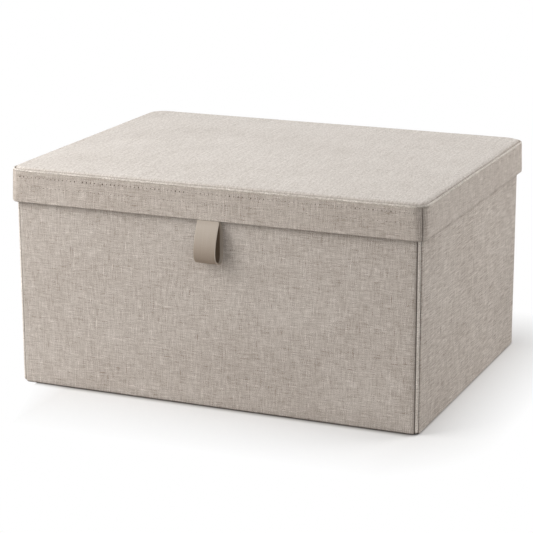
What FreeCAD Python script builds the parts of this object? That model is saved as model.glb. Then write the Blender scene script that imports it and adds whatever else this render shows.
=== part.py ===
import FreeCAD, Part
import math
import os

Vector = FreeCAD.Vector

# A lidded file box: boards sewn into linen cloth, a padded lid that lifts off, and a pull loop.
# Millimetres. X runs to the right, Y to the back and Z up, from the middle of the underside.

# The box body, outside its cloth
box_width = 400.0
box_depth = 300.0
box_height = 202.0
box_corner_radius = 7.0
box_bottom_round = 2.0

# The layers of a wall and of the base
cloth_thickness = 0.8
wall_board_thickness = 2.5
base_board_thickness = 3.0
lining_thickness = 0.6
wall_hem_depth = 12.0
base_turn_under = 6.0
base_seam_gap = 0.4

# The welted seam down each corner of the body
welt_bead_radius = 1.5
welt_proud = 0.7
welt_groove = 0.4
welt_flange_thickness = 0.6
welt_foot_height = 0.8
welt_clearance = 0.1
seam_slack = 0.05

# The lid
lid_clearance = 0.6
lid_corner_draw = 1.9
lid_seat_gap = 0.3
lid_board_thickness = 3.0
rim_overlap = 24.0
rim_board_thickness = 2.2
rim_board_corner_gap = 6.5
rim_bottom_round = 1.5
rim_hem_height = 10.0
rim_seam_notch_radius = 0.6

# The piping round the lid's top edge and the padded top above it
piping_radius = 1.1
piping_proud = 0.2
piping_rise = 2.6
crown_height = 7.9
crown_rise = 2.0
crown_end_rise = 3.0
crown_margin = 6.0
shoulder_radius = 3.5

# The pull loop under the front rim
strap_width = 22.0
strap_thickness = 1.1
loop_drop = 38.5
loop_bend_radius = 6.5
loop_wall_gap = 0.4
loop_pivot_gap = 0.3
loop_touch_drop = 12.0
strap_tail_height = 14.0
strap_tail_recess = 0.3
strap_slack = 0.2

# Cuts run past the solids by this much, and places closer than the hair count as the same
overrun = 5.0
hair = 0.001

# Turns and shares
quarter_turn = 90.0
half_turn = 180.0
diagonal_share = math.sqrt(0.5)

# Sizes that follow from the ones above
half_width = box_width / 2
half_depth = box_depth / 2
wall_thickness = cloth_thickness + wall_board_thickness
base_top = cloth_thickness + base_board_thickness
welt_centre_reach = box_corner_radius + welt_proud - welt_bead_radius
welt_space_radius = welt_bead_radius + welt_groove
welt_dip_radius = welt_space_radius + cloth_thickness
welt_seam_gap = welt_flange_thickness + 2 * seam_slack
dip_from_corner = box_corner_radius - diagonal_share * (welt_centre_reach - welt_dip_radius)
lining_corner_depth = dip_from_corner + welt_clearance - wall_thickness
lining_corner_radius = lining_corner_depth / (1 - diagonal_share)
wall_board_corner_gap = (
    box_corner_radius - diagonal_share * welt_centre_reach + welt_dip_radius + welt_clearance
)

rim_thickness = cloth_thickness + rim_board_thickness
lid_overhang = rim_thickness + cloth_thickness + lid_clearance
lid_corner_radius = box_corner_radius + lid_overhang - lid_corner_draw
lid_half_width = half_width + lid_overhang
lid_half_depth = half_depth + lid_overhang
rim_low = box_height - rim_overlap
lid_lining_low = box_height + lid_seat_gap
lid_board_low = lid_lining_low + lining_thickness
lid_board_top = lid_board_low + lid_board_thickness
piping_level = lid_board_top + piping_rise
piping_inset = piping_radius - piping_proud
rim_top = piping_level - piping_radius
top_cloth_inset = piping_inset + piping_radius + seam_slack
crown_top = lid_board_top + crown_height

pivot_level = rim_low - loop_pivot_gap - strap_thickness
pivot_place = -lid_half_depth + cloth_thickness + strap_thickness

os.makedirs("parts", exist_ok=True)


def save(shape, node):
    """Writes one node, and prints its size as a check."""
    solids = shape.Solids
    shape = solids[0] if len(solids) == 1 else Part.makeCompound(solids)
    if not shape.isValid() or not solids:
        raise ValueError("bad shape for " + node)
    shape.exportStep("parts/" + node + ".step")
    print(node, len(solids), "solid(s)", round(shape.Volume), "mm3")


def upright_edges(shape):
    """The edges that run straight up."""
    found = []
    for edge in shape.Edges:
        start = edge.Vertexes[0].Point
        end = edge.Vertexes[-1].Point
        if abs(start.z - end.z) > hair and math.hypot(start.x - end.x, start.y - end.y) < hair:
            found.append(edge)
    return found


def level_edges(shape, level):
    """The edges that lie flat at one height."""
    return [edge for edge in shape.Edges if all(abs(v.Z - level) < hair for v in edge.Vertexes)]


def plain_block(half_x, half_y, low, high):
    """A square-cornered block round the Z axis."""
    return Part.makeBox(2 * half_x, 2 * half_y, high - low, Vector(-half_x, -half_y, low))


def rounded_block(half_x, half_y, radius, low, high, bottom_round=0.0):
    """A block round the Z axis with rounded corners and, if asked, a rounded lower edge."""
    block = plain_block(half_x, half_y, low, high)
    if radius > hair:
        block = block.makeFillet(radius, upright_edges(block))
    if bottom_round > hair:
        block = block.makeFillet(bottom_round, level_edges(block, low))
    return block


def turned(shape, angle):
    """A copy turned about the Z axis."""
    copy = shape.copy()
    copy.rotate(Vector(0, 0, 0), Vector(0, 0, 1), angle)
    return copy


def side_wedge(across, reach, radius, seam_gap, low, high):
    """The space of the front side, out to the middle of each rounded corner."""
    inner_x = across - radius
    inner_y = reach - radius
    run = radius + overrun
    shift = seam_gap * diagonal_share
    points = [
        Vector(-inner_x + shift, -inner_y, low),
        Vector(inner_x - shift, -inner_y, low),
        Vector(inner_x + run - shift, -inner_y - run, low),
        Vector(-inner_x - run + shift, -inner_y - run, low),
    ]
    outline = Part.makePolygon(points + [points[0]])
    return Part.Face(outline).extrude(Vector(0, 0, high - low))


def side_layouts(half_x, half_y):
    """Each side's name, its half length, its distance from the middle and its turn."""
    return [
        ("front", half_x, half_y, 0.0),
        ("right", half_y, half_x, quarter_turn),
        ("back", half_x, half_y, half_turn),
        ("left", half_y, half_x, -quarter_turn),
    ]


def corner_layouts(half_x, half_y, radius, reach):
    """Each corner's name, a point out along its diagonal, and the diagonal's turn."""
    step = reach * diagonal_share
    layouts = []
    for end, sign_y in (("front", -1), ("back", 1)):
        for hand, sign_x in (("left", -1), ("right", 1)):
            place = Vector(sign_x * (half_x - radius + step), sign_y * (half_y - radius + step), 0)
            angle = math.degrees(math.atan2(sign_y, sign_x))
            layouts.append((end + "_" + hand, place, angle))
    return layouts


def wall_panel(across, reach, thickness, end_gap, low, high):
    """A flat upright board on the front side, its outer face at the given reach."""
    length = 2 * (across - end_gap)
    corner = Vector(end_gap - across, -reach, low)
    return Part.makeBox(length, thickness, high - low, corner)


# The box body

box_outside = rounded_block(half_width, half_depth, box_corner_radius, 0, box_height, box_bottom_round)
box_core = rounded_block(
    half_width - cloth_thickness,
    half_depth - cloth_thickness,
    box_corner_radius - cloth_thickness,
    cloth_thickness,
    box_height - cloth_thickness,
)
welt_corners = corner_layouts(half_width, half_depth, box_corner_radius, welt_centre_reach)


def inner_block(inset, low, high):
    """The space inside the wall boards, drawn in by an inset, with its soft corners."""
    radius = max(lining_corner_radius - inset, 0.0)
    draw_in = wall_thickness + inset
    return rounded_block(half_width - draw_in, half_depth - draw_in, radius, low, high)


def outer_cloth_skin():
    """The whole outer cloth in one piece: walls, hem over the top edge and turn-under below."""
    mouth = inner_block(cloth_thickness, box_height - wall_hem_depth, box_height + overrun)
    hem = inner_block(0.0, box_height - wall_hem_depth, box_height - cloth_thickness).cut(mouth)
    base_opening = rounded_block(
        half_width - base_turn_under,
        half_depth - base_turn_under,
        box_corner_radius - base_turn_under,
        -overrun,
        cloth_thickness + hair,
    )
    skin = box_outside.cut(box_core).cut(mouth).cut(base_opening).fuse(hem)
    for name, place, angle in welt_corners:
        dip = Part.makeCylinder(welt_dip_radius, box_height, place)
        low_point = place - Vector(0, 0, overrun)
        space = Part.makeCylinder(welt_space_radius, box_height + 2 * overrun, low_point)
        skin = skin.fuse(dip.common(box_outside)).cut(space)
    return skin


def save_outer_cloth():
    """Cuts the skin at the corner seams into its four sewn panels."""
    skin = outer_cloth_skin()
    high = box_height + overrun
    for side, across, reach, angle in side_layouts(half_width, half_depth):
        wedge = side_wedge(across, reach, box_corner_radius, welt_seam_gap, -overrun, high)
        save(skin.common(turned(wedge, angle)), side + "_cloth")


def save_wall_boards():
    """Four stiff boards that stand inside the cloth."""
    for side, across, reach, angle in side_layouts(half_width, half_depth):
        slab = wall_panel(
            across,
            reach - cloth_thickness,
            wall_board_thickness,
            wall_board_corner_gap,
            cloth_thickness,
            box_height - cloth_thickness,
        )
        save(box_core.common(turned(slab, angle)), side + "_board")


def save_linings():
    """Four lining panels, from the base board up to the hem."""
    low = base_top
    high = box_height - wall_hem_depth
    ring = inner_block(0.0, low, high).cut(inner_block(lining_thickness, low - overrun, high + overrun))
    inner_x = half_width - wall_thickness
    inner_y = half_depth - wall_thickness
    for side, across, reach, angle in side_layouts(inner_x, inner_y):
        wedge = side_wedge(across, reach, lining_corner_radius, 0.0, low - overrun, high + overrun)
        save(ring.common(turned(wedge, angle)), side + "_lining")


def save_base():
    """The base cloth, the base board that stiffens it, and the lining on top."""
    seam = base_turn_under + base_seam_gap
    cloth = rounded_block(
        half_width - seam, half_depth - seam, box_corner_radius - base_turn_under, 0, cloth_thickness
    )
    save(cloth, "base_cloth")
    save(inner_block(0.0, cloth_thickness, base_top), "base_board")
    save(inner_block(lining_thickness, base_top, base_top + lining_thickness), "base_lining")


def corner_welt():
    """A round bead and the flange that is sewn between two panels."""
    high = box_height - welt_foot_height
    bead = Part.makeCylinder(welt_bead_radius, high - welt_foot_height, Vector(0, 0, welt_foot_height))
    corner = Vector(-welt_dip_radius, -welt_flange_thickness / 2, welt_foot_height)
    flange = Part.makeBox(welt_dip_radius, welt_flange_thickness, high - welt_foot_height, corner)
    return bead.fuse(flange).removeSplitter()


def save_welts():
    """One welt down each corner of the body."""
    welt = corner_welt()
    for name, place, angle in welt_corners:
        placed = turned(welt, angle)
        placed.translate(place)
        save(placed, "corner_welt_" + name)


# The lid


def lid_block(inset, low, high, bottom_round=0.0):
    """The lid's rounded outline drawn in by an inset."""
    radius = max(lid_corner_radius - inset, 0.0)
    return rounded_block(lid_half_width - inset, lid_half_depth - inset, radius, low, high, bottom_round)


def strap_slot():
    """The slit and notch in the front rim that hold the strap's sewn ends."""
    depth = 2 * strap_thickness
    width = strap_width + 2 * strap_slack
    low = rim_low - overrun
    corner = Vector(-width / 2, pivot_place - strap_thickness, low)
    return Part.makeBox(width, depth, overrun + strap_tail_height + strap_slack, corner)


def save_rim_cloth():
    """Four cloth strips that wrap the rim's lower edge and turn up inside."""
    outside = lid_block(0.0, rim_low, rim_top, rim_bottom_round)
    inner_low = rim_low + cloth_thickness
    inside = lid_block(cloth_thickness, inner_low, rim_top + overrun)
    mouth = lid_block(rim_thickness + cloth_thickness, rim_low - overrun, rim_top + overrun)
    hem = lid_block(rim_thickness, inner_low, rim_low + rim_hem_height).cut(mouth)
    rim = outside.cut(inside).cut(mouth).fuse(hem)
    for name, place, angle in corner_layouts(
        lid_half_width, lid_half_depth, lid_corner_radius, lid_corner_radius
    ):
        low_point = place + Vector(0, 0, rim_low - overrun)
        notch = Part.makeCylinder(rim_seam_notch_radius, rim_top - rim_low + 2 * overrun, low_point)
        rim = rim.cut(notch)
    rim = rim.cut(strap_slot())
    for side, across, reach, angle in side_layouts(lid_half_width, lid_half_depth):
        wedge = side_wedge(across, reach, lid_corner_radius, 0.0, rim_low - overrun, rim_top + overrun)
        save(rim.common(turned(wedge, angle)), "rim_" + side + "_cloth")


def save_rim_boards():
    """Four stiff strips that stand inside the rim cloth, under the lid board."""
    low = rim_low + cloth_thickness
    core = lid_block(cloth_thickness, low, lid_board_low)
    for side, across, reach, angle in side_layouts(lid_half_width, lid_half_depth):
        slab = wall_panel(
            across, reach - cloth_thickness, rim_board_thickness, rim_board_corner_gap, low, lid_board_low
        )
        board = core.common(turned(slab, angle))
        if side == "front":
            board = board.cut(strap_slot())
        save(board, "rim_" + side + "_board")


def save_lid_inside():
    """The lid board, the lining under it and the lining band inside the rim."""
    save(lid_block(cloth_thickness, lid_board_low, lid_board_top), "lid_board")
    save(lid_block(rim_thickness, lid_lining_low, lid_board_low), "lid_lining")
    low = rim_low + rim_hem_height
    band = lid_block(rim_thickness, low, lid_lining_low)
    band_hole = lid_block(rim_thickness + lining_thickness, low - overrun, lid_lining_low + overrun)
    save(band.cut(band_hole).cut(strap_slot()), "rim_lining")


def vault(half_span, half_length, low, eave, rise):
    """A block along Y whose upper face is one wide arc from side to side."""
    left_low = Vector(-half_span, -half_length, low)
    left_eave = Vector(-half_span, -half_length, eave)
    middle = Vector(0, -half_length, eave + rise)
    right_eave = Vector(half_span, -half_length, eave)
    right_low = Vector(half_span, -half_length, low)
    edges = [
        Part.makeLine(left_low, left_eave),
        Part.Arc(left_eave, middle, right_eave).toShape(),
        Part.makeLine(right_eave, right_low),
        Part.makeLine(right_low, left_low),
    ]
    return Part.Face(Part.Wire(edges)).extrude(Vector(0, 2 * half_length, 0))


def crowned_block(inset, low, top, shoulder):
    """A padded form: level sides, a soft shoulder and a crown that is highest in the middle."""
    eave = top - crown_rise
    block = lid_block(inset, low, eave)
    block = block.makeFillet(shoulder, level_edges(block, eave))
    half_x = lid_half_width - inset - crown_margin
    half_y = lid_half_depth - inset - crown_margin
    crown = vault(half_x, half_y + overrun, eave - shoulder, eave, crown_end_rise)
    across = vault(half_y, half_x + overrun, eave - shoulder, eave, crown_rise)
    return block.fuse(crown.common(turned(across, quarter_turn)))


def save_padded_top():
    """The foam pad on the lid board and the cloth drawn over it."""
    pad_inset = top_cloth_inset + cloth_thickness
    pad_top = crown_top - cloth_thickness
    pad = crowned_block(pad_inset, lid_board_top, pad_top, shoulder_radius - cloth_thickness)
    skin = crowned_block(top_cloth_inset, lid_board_top, crown_top, shoulder_radius)
    save(skin.cut(pad), "lid_top_cloth")
    save(pad, "lid_pad")


# The four corners in order round the piping, each with the turn at which its arc starts
piping_corners = [
    (1, 1, 0.0),
    (-1, 1, quarter_turn),
    (-1, -1, half_turn),
    (1, -1, -quarter_turn),
]


def save_piping():
    """A round cord covered in cloth that runs right round the lid's top edge."""
    x = lid_half_width - piping_inset
    y = lid_half_depth - piping_inset
    bend = lid_corner_radius - piping_inset
    long_run = 2 * (x - bend)
    short_run = 2 * (y - bend)
    pieces = [
        Part.makeCylinder(piping_radius, long_run, Vector(bend - x, -y, piping_level), Vector(1, 0, 0)),
        Part.makeCylinder(piping_radius, short_run, Vector(x, bend - y, piping_level), Vector(0, 1, 0)),
        Part.makeCylinder(piping_radius, long_run, Vector(bend - x, y, piping_level), Vector(1, 0, 0)),
        Part.makeCylinder(piping_radius, short_run, Vector(-x, bend - y, piping_level), Vector(0, 1, 0)),
    ]
    origin = Vector(0, 0, 0)
    upwards = Vector(0, 0, 1)
    for sign_x, sign_y, start in piping_corners:
        corner = Part.makeTorus(bend, piping_radius, origin, upwards, -half_turn, half_turn, quarter_turn)
        corner = turned(corner, start)
        corner.translate(Vector(sign_x * (x - bend), sign_y * (y - bend), piping_level))
        pieces.append(corner)
    piping = pieces[0].fuse(pieces[1:])
    save(piping.removeSplitter(), "lid_piping")


# The pull loop


def save_loop_tail():
    """The strap's two sewn ends, one on the other, in the notch of the front rim."""
    corner = Vector(-strap_width / 2, pivot_place - strap_thickness, rim_low + strap_tail_recess)
    height = strap_tail_height - strap_tail_recess
    save(Part.makeBox(strap_width, 2 * strap_thickness, height, corner), "loop_tail")


def loop_outline(bend_level, front_y, back_y):
    """The loop's outer outline from the side: knuckle, front bow, bottom bend and flat back."""
    knuckle_front = Vector(0, pivot_place - strap_thickness, pivot_level)
    knuckle_top = Vector(0, pivot_place, pivot_level + strap_thickness)
    knuckle_back = Vector(0, pivot_place + strap_thickness, pivot_level)
    touch = Vector(0, back_y, pivot_level - loop_touch_drop)
    bend_back = Vector(0, back_y, bend_level)
    bend_low = Vector(0, back_y - loop_bend_radius, bend_level - loop_bend_radius)
    bend_front = Vector(0, front_y, bend_level)
    radius = bow_radius(front_y, bend_level)
    half_rise = (pivot_level - bend_level) / 2
    bow_y = front_y + radius - math.sqrt(radius ** 2 - half_rise ** 2)
    bow_middle = Vector(0, bow_y, bend_level + half_rise)
    edges = [
        Part.Arc(knuckle_front, knuckle_top, knuckle_back).toShape(),
        Part.makeLine(knuckle_back, touch),
        Part.makeLine(touch, bend_back),
        Part.Arc(bend_back, bend_low, bend_front).toShape(),
        Part.Arc(bend_front, bow_middle, knuckle_front).toShape(),
    ]
    return Part.Wire(edges)


def bow_radius(front_y, bend_level):
    """The radius of the front bow, which leaves the bottom bend straight up and ends at the knuckle."""
    run = pivot_place - strap_thickness - front_y
    rise = pivot_level - bend_level
    return (run ** 2 + rise ** 2) / (2 * run)


def save_pull_loop():
    """The hanging loop: one strap bent round, its plies together at the knuckle."""
    back_y = -half_depth - loop_wall_gap
    front_y = back_y - 2 * loop_bend_radius
    bend_level = rim_low - loop_drop + loop_bend_radius
    across = Vector(strap_width, 0, 0)
    outline = loop_outline(bend_level, front_y, back_y)
    solid = Part.Face(outline).extrude(across)

    radius = bow_radius(front_y, bend_level)
    start_x = Vector(-overrun, 0, 0)
    cut_width = strap_width + 2 * overrun
    bow_centre = start_x + Vector(0, front_y + radius, bend_level)
    bow_space = Part.makeCylinder(radius - strap_thickness, cut_width, bow_centre, Vector(1, 0, 0))
    inner_back = back_y - strap_thickness
    corners = [
        Vector(-overrun, front_y, bend_level),
        Vector(-overrun, inner_back, bend_level),
        Vector(-overrun, inner_back, pivot_level - loop_touch_drop),
        Vector(-overrun, pivot_place, pivot_level),
        Vector(-overrun, front_y, pivot_level),
    ]
    back_space = Part.Face(Part.makePolygon(corners + [corners[0]])).extrude(Vector(cut_width, 0, 0))
    bend_centre = start_x + Vector(0, back_y - loop_bend_radius, bend_level)
    bend_space = Part.makeCylinder(
        loop_bend_radius - strap_thickness, cut_width, bend_centre, Vector(1, 0, 0)
    )
    solid = solid.cut(bow_space.common(back_space)).cut(bend_space)
    solid.translate(Vector(-strap_width / 2, 0, 0))
    save(solid, "pull_loop")


save_outer_cloth()
save_wall_boards()
save_linings()
save_base()
save_welts()
save_rim_cloth()
save_rim_boards()
save_lid_inside()
save_padded_top()
save_piping()
save_loop_tail()
save_pull_loop()
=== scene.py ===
"""Dresses the lidded file box: linen panels, welted corners, padded lid, piping and pull loop."""

import contextlib
import enum
import logging
import math
from dataclasses import dataclass, field, replace
from typing import Callable, Iterator, Sequence

import bmesh
import bpy
from bpy.types import Material, Mesh, NodeSocket, NodeTree, Object, World
from mathutils import Matrix, Vector, noise


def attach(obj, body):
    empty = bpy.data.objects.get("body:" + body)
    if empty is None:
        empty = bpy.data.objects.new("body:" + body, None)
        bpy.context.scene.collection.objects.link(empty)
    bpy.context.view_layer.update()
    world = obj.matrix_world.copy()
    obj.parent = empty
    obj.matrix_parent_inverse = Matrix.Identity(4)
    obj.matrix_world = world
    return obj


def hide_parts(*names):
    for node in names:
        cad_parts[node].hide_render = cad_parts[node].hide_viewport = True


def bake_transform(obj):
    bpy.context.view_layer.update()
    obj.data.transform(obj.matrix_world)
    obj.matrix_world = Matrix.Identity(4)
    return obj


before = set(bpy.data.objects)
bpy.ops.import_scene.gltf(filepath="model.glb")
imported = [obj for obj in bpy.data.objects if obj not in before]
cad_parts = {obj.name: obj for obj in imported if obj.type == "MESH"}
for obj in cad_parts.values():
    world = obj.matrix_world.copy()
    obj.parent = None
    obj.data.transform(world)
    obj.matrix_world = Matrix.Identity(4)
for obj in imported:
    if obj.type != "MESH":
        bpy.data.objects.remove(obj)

log = logging.getLogger("file_box")

MM = 0.001
WEAVE_MAP = "weave"
SHARP_ANGLE = math.radians(38.0)
SIDE_OFFSET = 700.0
FLAT_INSETS = (0.0, 0.6, 1.4, 3.0, 8.0)
WHITE = (1.0, 1.0, 1.0, 1.0)
Point = tuple[float, float]


class Side(enum.Enum):
    """The four sides, each with its turn from the front in degrees."""

    FRONT = 0.0
    RIGHT = 90.0
    BACK = 180.0
    LEFT = 270.0

    @property
    def word(self) -> str:
        """The side's name as the frame's nodes use it."""
        return self.name.lower()

    @property
    def is_long(self) -> bool:
        """True for the front and the back."""
        return self in (Side.FRONT, Side.BACK)

    def spans(self, half_width: float, half_depth: float) -> Point:
        """Half this side's length, and its distance from the middle."""
        return (half_width, half_depth) if self.is_long else (half_depth, half_width)


class Facing(enum.Enum):
    """Which way a swept cloth shows its face."""

    OUTWARD = 1
    INWARD = -1


# Shader graphs


class Wire:
    """A shader socket that adds Math nodes when it is used in an expression."""

    def __init__(self, graph: "Graph", socket: NodeSocket) -> None:
        """Keeps the graph and the socket."""
        self.graph = graph
        self.socket = socket

    def __add__(self, other: "Wire | float") -> "Wire":
        """self + other."""
        return self.graph.math("ADD", self, other)

    def __radd__(self, other: float) -> "Wire":
        """other + self."""
        return self.graph.math("ADD", other, self)

    def __sub__(self, other: "Wire | float") -> "Wire":
        """self - other."""
        return self.graph.math("SUBTRACT", self, other)

    def __rsub__(self, other: float) -> "Wire":
        """other - self."""
        return self.graph.math("SUBTRACT", other, self)

    def __mul__(self, other: "Wire | float") -> "Wire":
        """self * other."""
        return self.graph.math("MULTIPLY", self, other)

    def __rmul__(self, other: float) -> "Wire":
        """other * self."""
        return self.graph.math("MULTIPLY", other, self)

    def __truediv__(self, other: "Wire | float") -> "Wire":
        """self / other."""
        return self.graph.math("DIVIDE", self, other)

    def beside(self, output: str | int) -> "Wire":
        """Another output of the same node."""
        return Wire(self.graph, self.socket.node.outputs[output])

    def floor(self) -> "Wire":
        """The whole number below."""
        return self.graph.math("FLOOR", self)

    def odd(self) -> "Wire":
        """1 where the rounded-down value is odd, else 0."""
        return self.graph.math("MODULO", self.graph.math("ABSOLUTE", self.floor()), 2.0)

    def sine(self) -> "Wire":
        """The sine."""
        return self.graph.math("SINE", self)

    def clamped(self) -> "Wire":
        """The value held between 0 and 1."""
        return self.graph.node("ShaderNodeClamp", inputs={0: self})

    def between(self, low: float, high: float) -> "Wire":
        """A soft step from 0 at low to 1 at high."""
        return self.graph.node(
            "ShaderNodeMapRange", {"interpolation_type": "SMOOTHSTEP"}, {0: self, 1: low, 2: high}
        )


Value = Wire | float | tuple[float, ...]


class Graph:
    """The nodes of a material, a world or a modifier while they are being wired."""

    def __init__(self, owner: Material | World | NodeTree) -> None:
        """Empties the owner's node tree.

        Args:
            owner: The material or the world, or the tree itself.
        """
        self.owner = owner
        self.tree = owner
        if not isinstance(owner, NodeTree):
            owner.use_nodes = True
            self.tree = owner.node_tree
        self.tree.nodes.clear()

    def node(
        self,
        kind: str,
        settings: dict[str, object] | None = None,
        inputs: dict[str | int, Value] | None = None,
        output: str | int = 0,
    ) -> Wire:
        """Adds a node.

        Args:
            kind: The node's type.
            settings: Its own settings, which are set first.
            inputs: Values or wires for its sockets.
            output: The output to return.

        Returns:
            The chosen output.
        """
        made = self.tree.nodes.new(kind)
        for key, value in (settings or {}).items():
            setattr(made, key, value)
        for key, value in (inputs or {}).items():
            if isinstance(value, Wire):
                self.tree.links.new(value.socket, made.inputs[key])
            else:
                made.inputs[key].default_value = value
        return Wire(self, made.outputs[output] if made.outputs else None)

    def math(self, operation: str, *values: Wire | float) -> Wire:
        """Adds a Math node.

        Args:
            operation: Its operation.
            *values: Its inputs in order.

        Returns:
            The result.
        """
        return self.node("ShaderNodeMath", {"operation": operation}, dict(enumerate(values)))

    def place(self) -> tuple[Wire, Wire, Wire]:
        """The three Object coordinates."""
        return self.parts(self.node("ShaderNodeTexCoord", output="Object"))

    def past(self, half_x: float, half_y: float) -> tuple[Wire, Wire]:
        """How far a place lies past half a width and half a depth, on either side."""
        x, y, _ = self.place()
        return self.math("ABSOLUTE", x) - half_x, self.math("ABSOLUTE", y) - half_y

    def seen_by(self, *rays: str) -> Wire:
        """1 for the two named kinds of ray, else 0."""
        return self.math("MAXIMUM", *(self.node("ShaderNodeLightPath", output=ray) for ray in rays))

    def weave_place(self) -> tuple[Wire, Wire]:
        """The piece's own two cloth coordinates, in metres."""
        across, along, _ = self.parts(self.node("ShaderNodeUVMap", {"uv_map": WEAVE_MAP}))
        return across, along

    def parts(self, vector: Wire) -> tuple[Wire, Wire, Wire]:
        """The three parts of a vector."""
        split = self.node("ShaderNodeSeparateXYZ", inputs={0: vector})
        return split, split.beside(1), split.beside(2)

    def cloud(self, x: Value, y: Value, z: Value = 0.0, detail: float = 2.0, rough: float = 0.5) -> Wire:
        """Noise at a place whose parts are already scaled.

        Args:
            x: The first part.
            y: The second part.
            z: The third part.
            detail: The noise's octaves.
            rough: How much the finer octaves count.

        Returns:
            The noise, about 0.5 on the mean.
        """
        place = self.node("ShaderNodeCombineXYZ", inputs={0: x, 1: y, 2: z})
        return self.node(
            "ShaderNodeTexNoise", inputs={"Vector": place, "Scale": 1.0, "Detail": detail, "Roughness": rough}
        )

    def blend(self, share: Value, first: Value, second: Value) -> Wire:
        """Mixes two colours.

        Args:
            share: How much of the second, from 0 to 1.
            first: The first colour.
            second: The second colour.

        Returns:
            The mixed colour.
        """
        settings = {"data_type": "RGBA", "clamp_factor": True}
        return self.node("ShaderNodeMix", settings, {0: share, 6: first, 7: second}, 2)

    def bump(self, height: Wire, depth: float, strength: float) -> Wire:
        """A normal from a height of 0 to 1.

        Args:
            height: The height.
            depth: The relief in metres for a height of 1.
            strength: The Bump node's strength.

        Returns:
            The normal.
        """
        return self.node(
            "ShaderNodeBump", inputs={"Height": height, "Distance": depth, "Strength": strength}
        )

    def surface(self, **sockets: Value) -> Material:
        """Ends the graph in a Principled BSDF.

        Args:
            **sockets: Its inputs, with _ for each space in their names.

        Returns:
            The finished material.
        """
        inputs = {key.replace("_", " "): value for key, value in sockets.items()}
        shader = self.node("ShaderNodeBsdfPrincipled", inputs=inputs)
        return self.end(shader)

    def end(self, shader: Wire, kind: str = "ShaderNodeOutputMaterial") -> Material | World:
        """Sends a shader to the output and gives the finished material or world."""
        self.node(kind, inputs={"Surface": shader})
        return self.owner


def colour(red: float, green: float, blue: float) -> tuple[float, float, float, float]:
    """Turns a colour as a picture shows it into Blender's linear one.

    Args:
        red: From 0 to 255.
        green: From 0 to 255.
        blue: From 0 to 255.

    Returns:
        The linear colour, opaque.
    """
    shares = (value / 255.0 for value in (red, green, blue))
    return *(s / 12.92 if s <= 0.04045 else ((s + 0.055) / 1.055) ** 2.4 for s in shares), 1.0


Colour = tuple[float, float, float, float]


@dataclass(frozen=True)
class Shade:
    """Painted shade that gathers near a line or a level: full up to one distance, gone from another."""

    dark_to: float
    clear_from: float
    depth: float

    def distance(self, graph: Graph) -> Wire:
        """The height over the floor, which other kinds of shade replace by their own distance."""
        return graph.place()[2]

    def mask(self, graph: Graph) -> Wire:
        """How dark the shade is, from 0 to its depth."""
        return (1.0 - self.distance(graph).between(self.dark_to, self.clear_from)) * self.depth


@dataclass(frozen=True)
class LevelShade(Shade):
    """The shade below a level, as in a crease or beside the floor."""


@dataclass(frozen=True)
class UnderRimShade(Shade):
    """Painted shadow: a dark line on the cloth just below the lid rim's lower edge, where the rim casts its
    shadow.
    """

    level: float

    def distance(self, graph: Graph) -> Wire:
        """The distance from the line's level."""
        return graph.math("ABSOLUTE", graph.place()[2] - self.level)


@dataclass(frozen=True)
class SeamShade(Shade):
    """The shade that gathers beside the four upright corner seams."""

    x: float
    y: float

    def distance(self, graph: Graph) -> Wire:
        """The distance from the seam's line."""
        over_x, over_y = graph.past(self.x, self.y)
        return graph.math("SQRT", over_x * over_x + over_y * over_y)


@dataclass(frozen=True)
class BeadShade(SeamShade):
    """The shade on the flanks of a corner bead, away from its outer crest."""

    def distance(self, graph: Graph) -> Wire:
        """The height towards the crest."""
        over_x, over_y = graph.past(self.x, self.y)
        return (over_x + over_y) * math.sqrt(0.5)


@dataclass(frozen=True)
class DiagonalShade(Shade):
    """The shade beside a seam that runs up a corner on its diagonal."""

    difference: float

    def distance(self, graph: Graph) -> Wire:
        """The distance from the corner's diagonal plane."""
        over_x, over_y = graph.past(0.0, 0.0)
        return graph.math("ABSOLUTE", over_x - over_y - self.difference) * math.sqrt(0.5)


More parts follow.
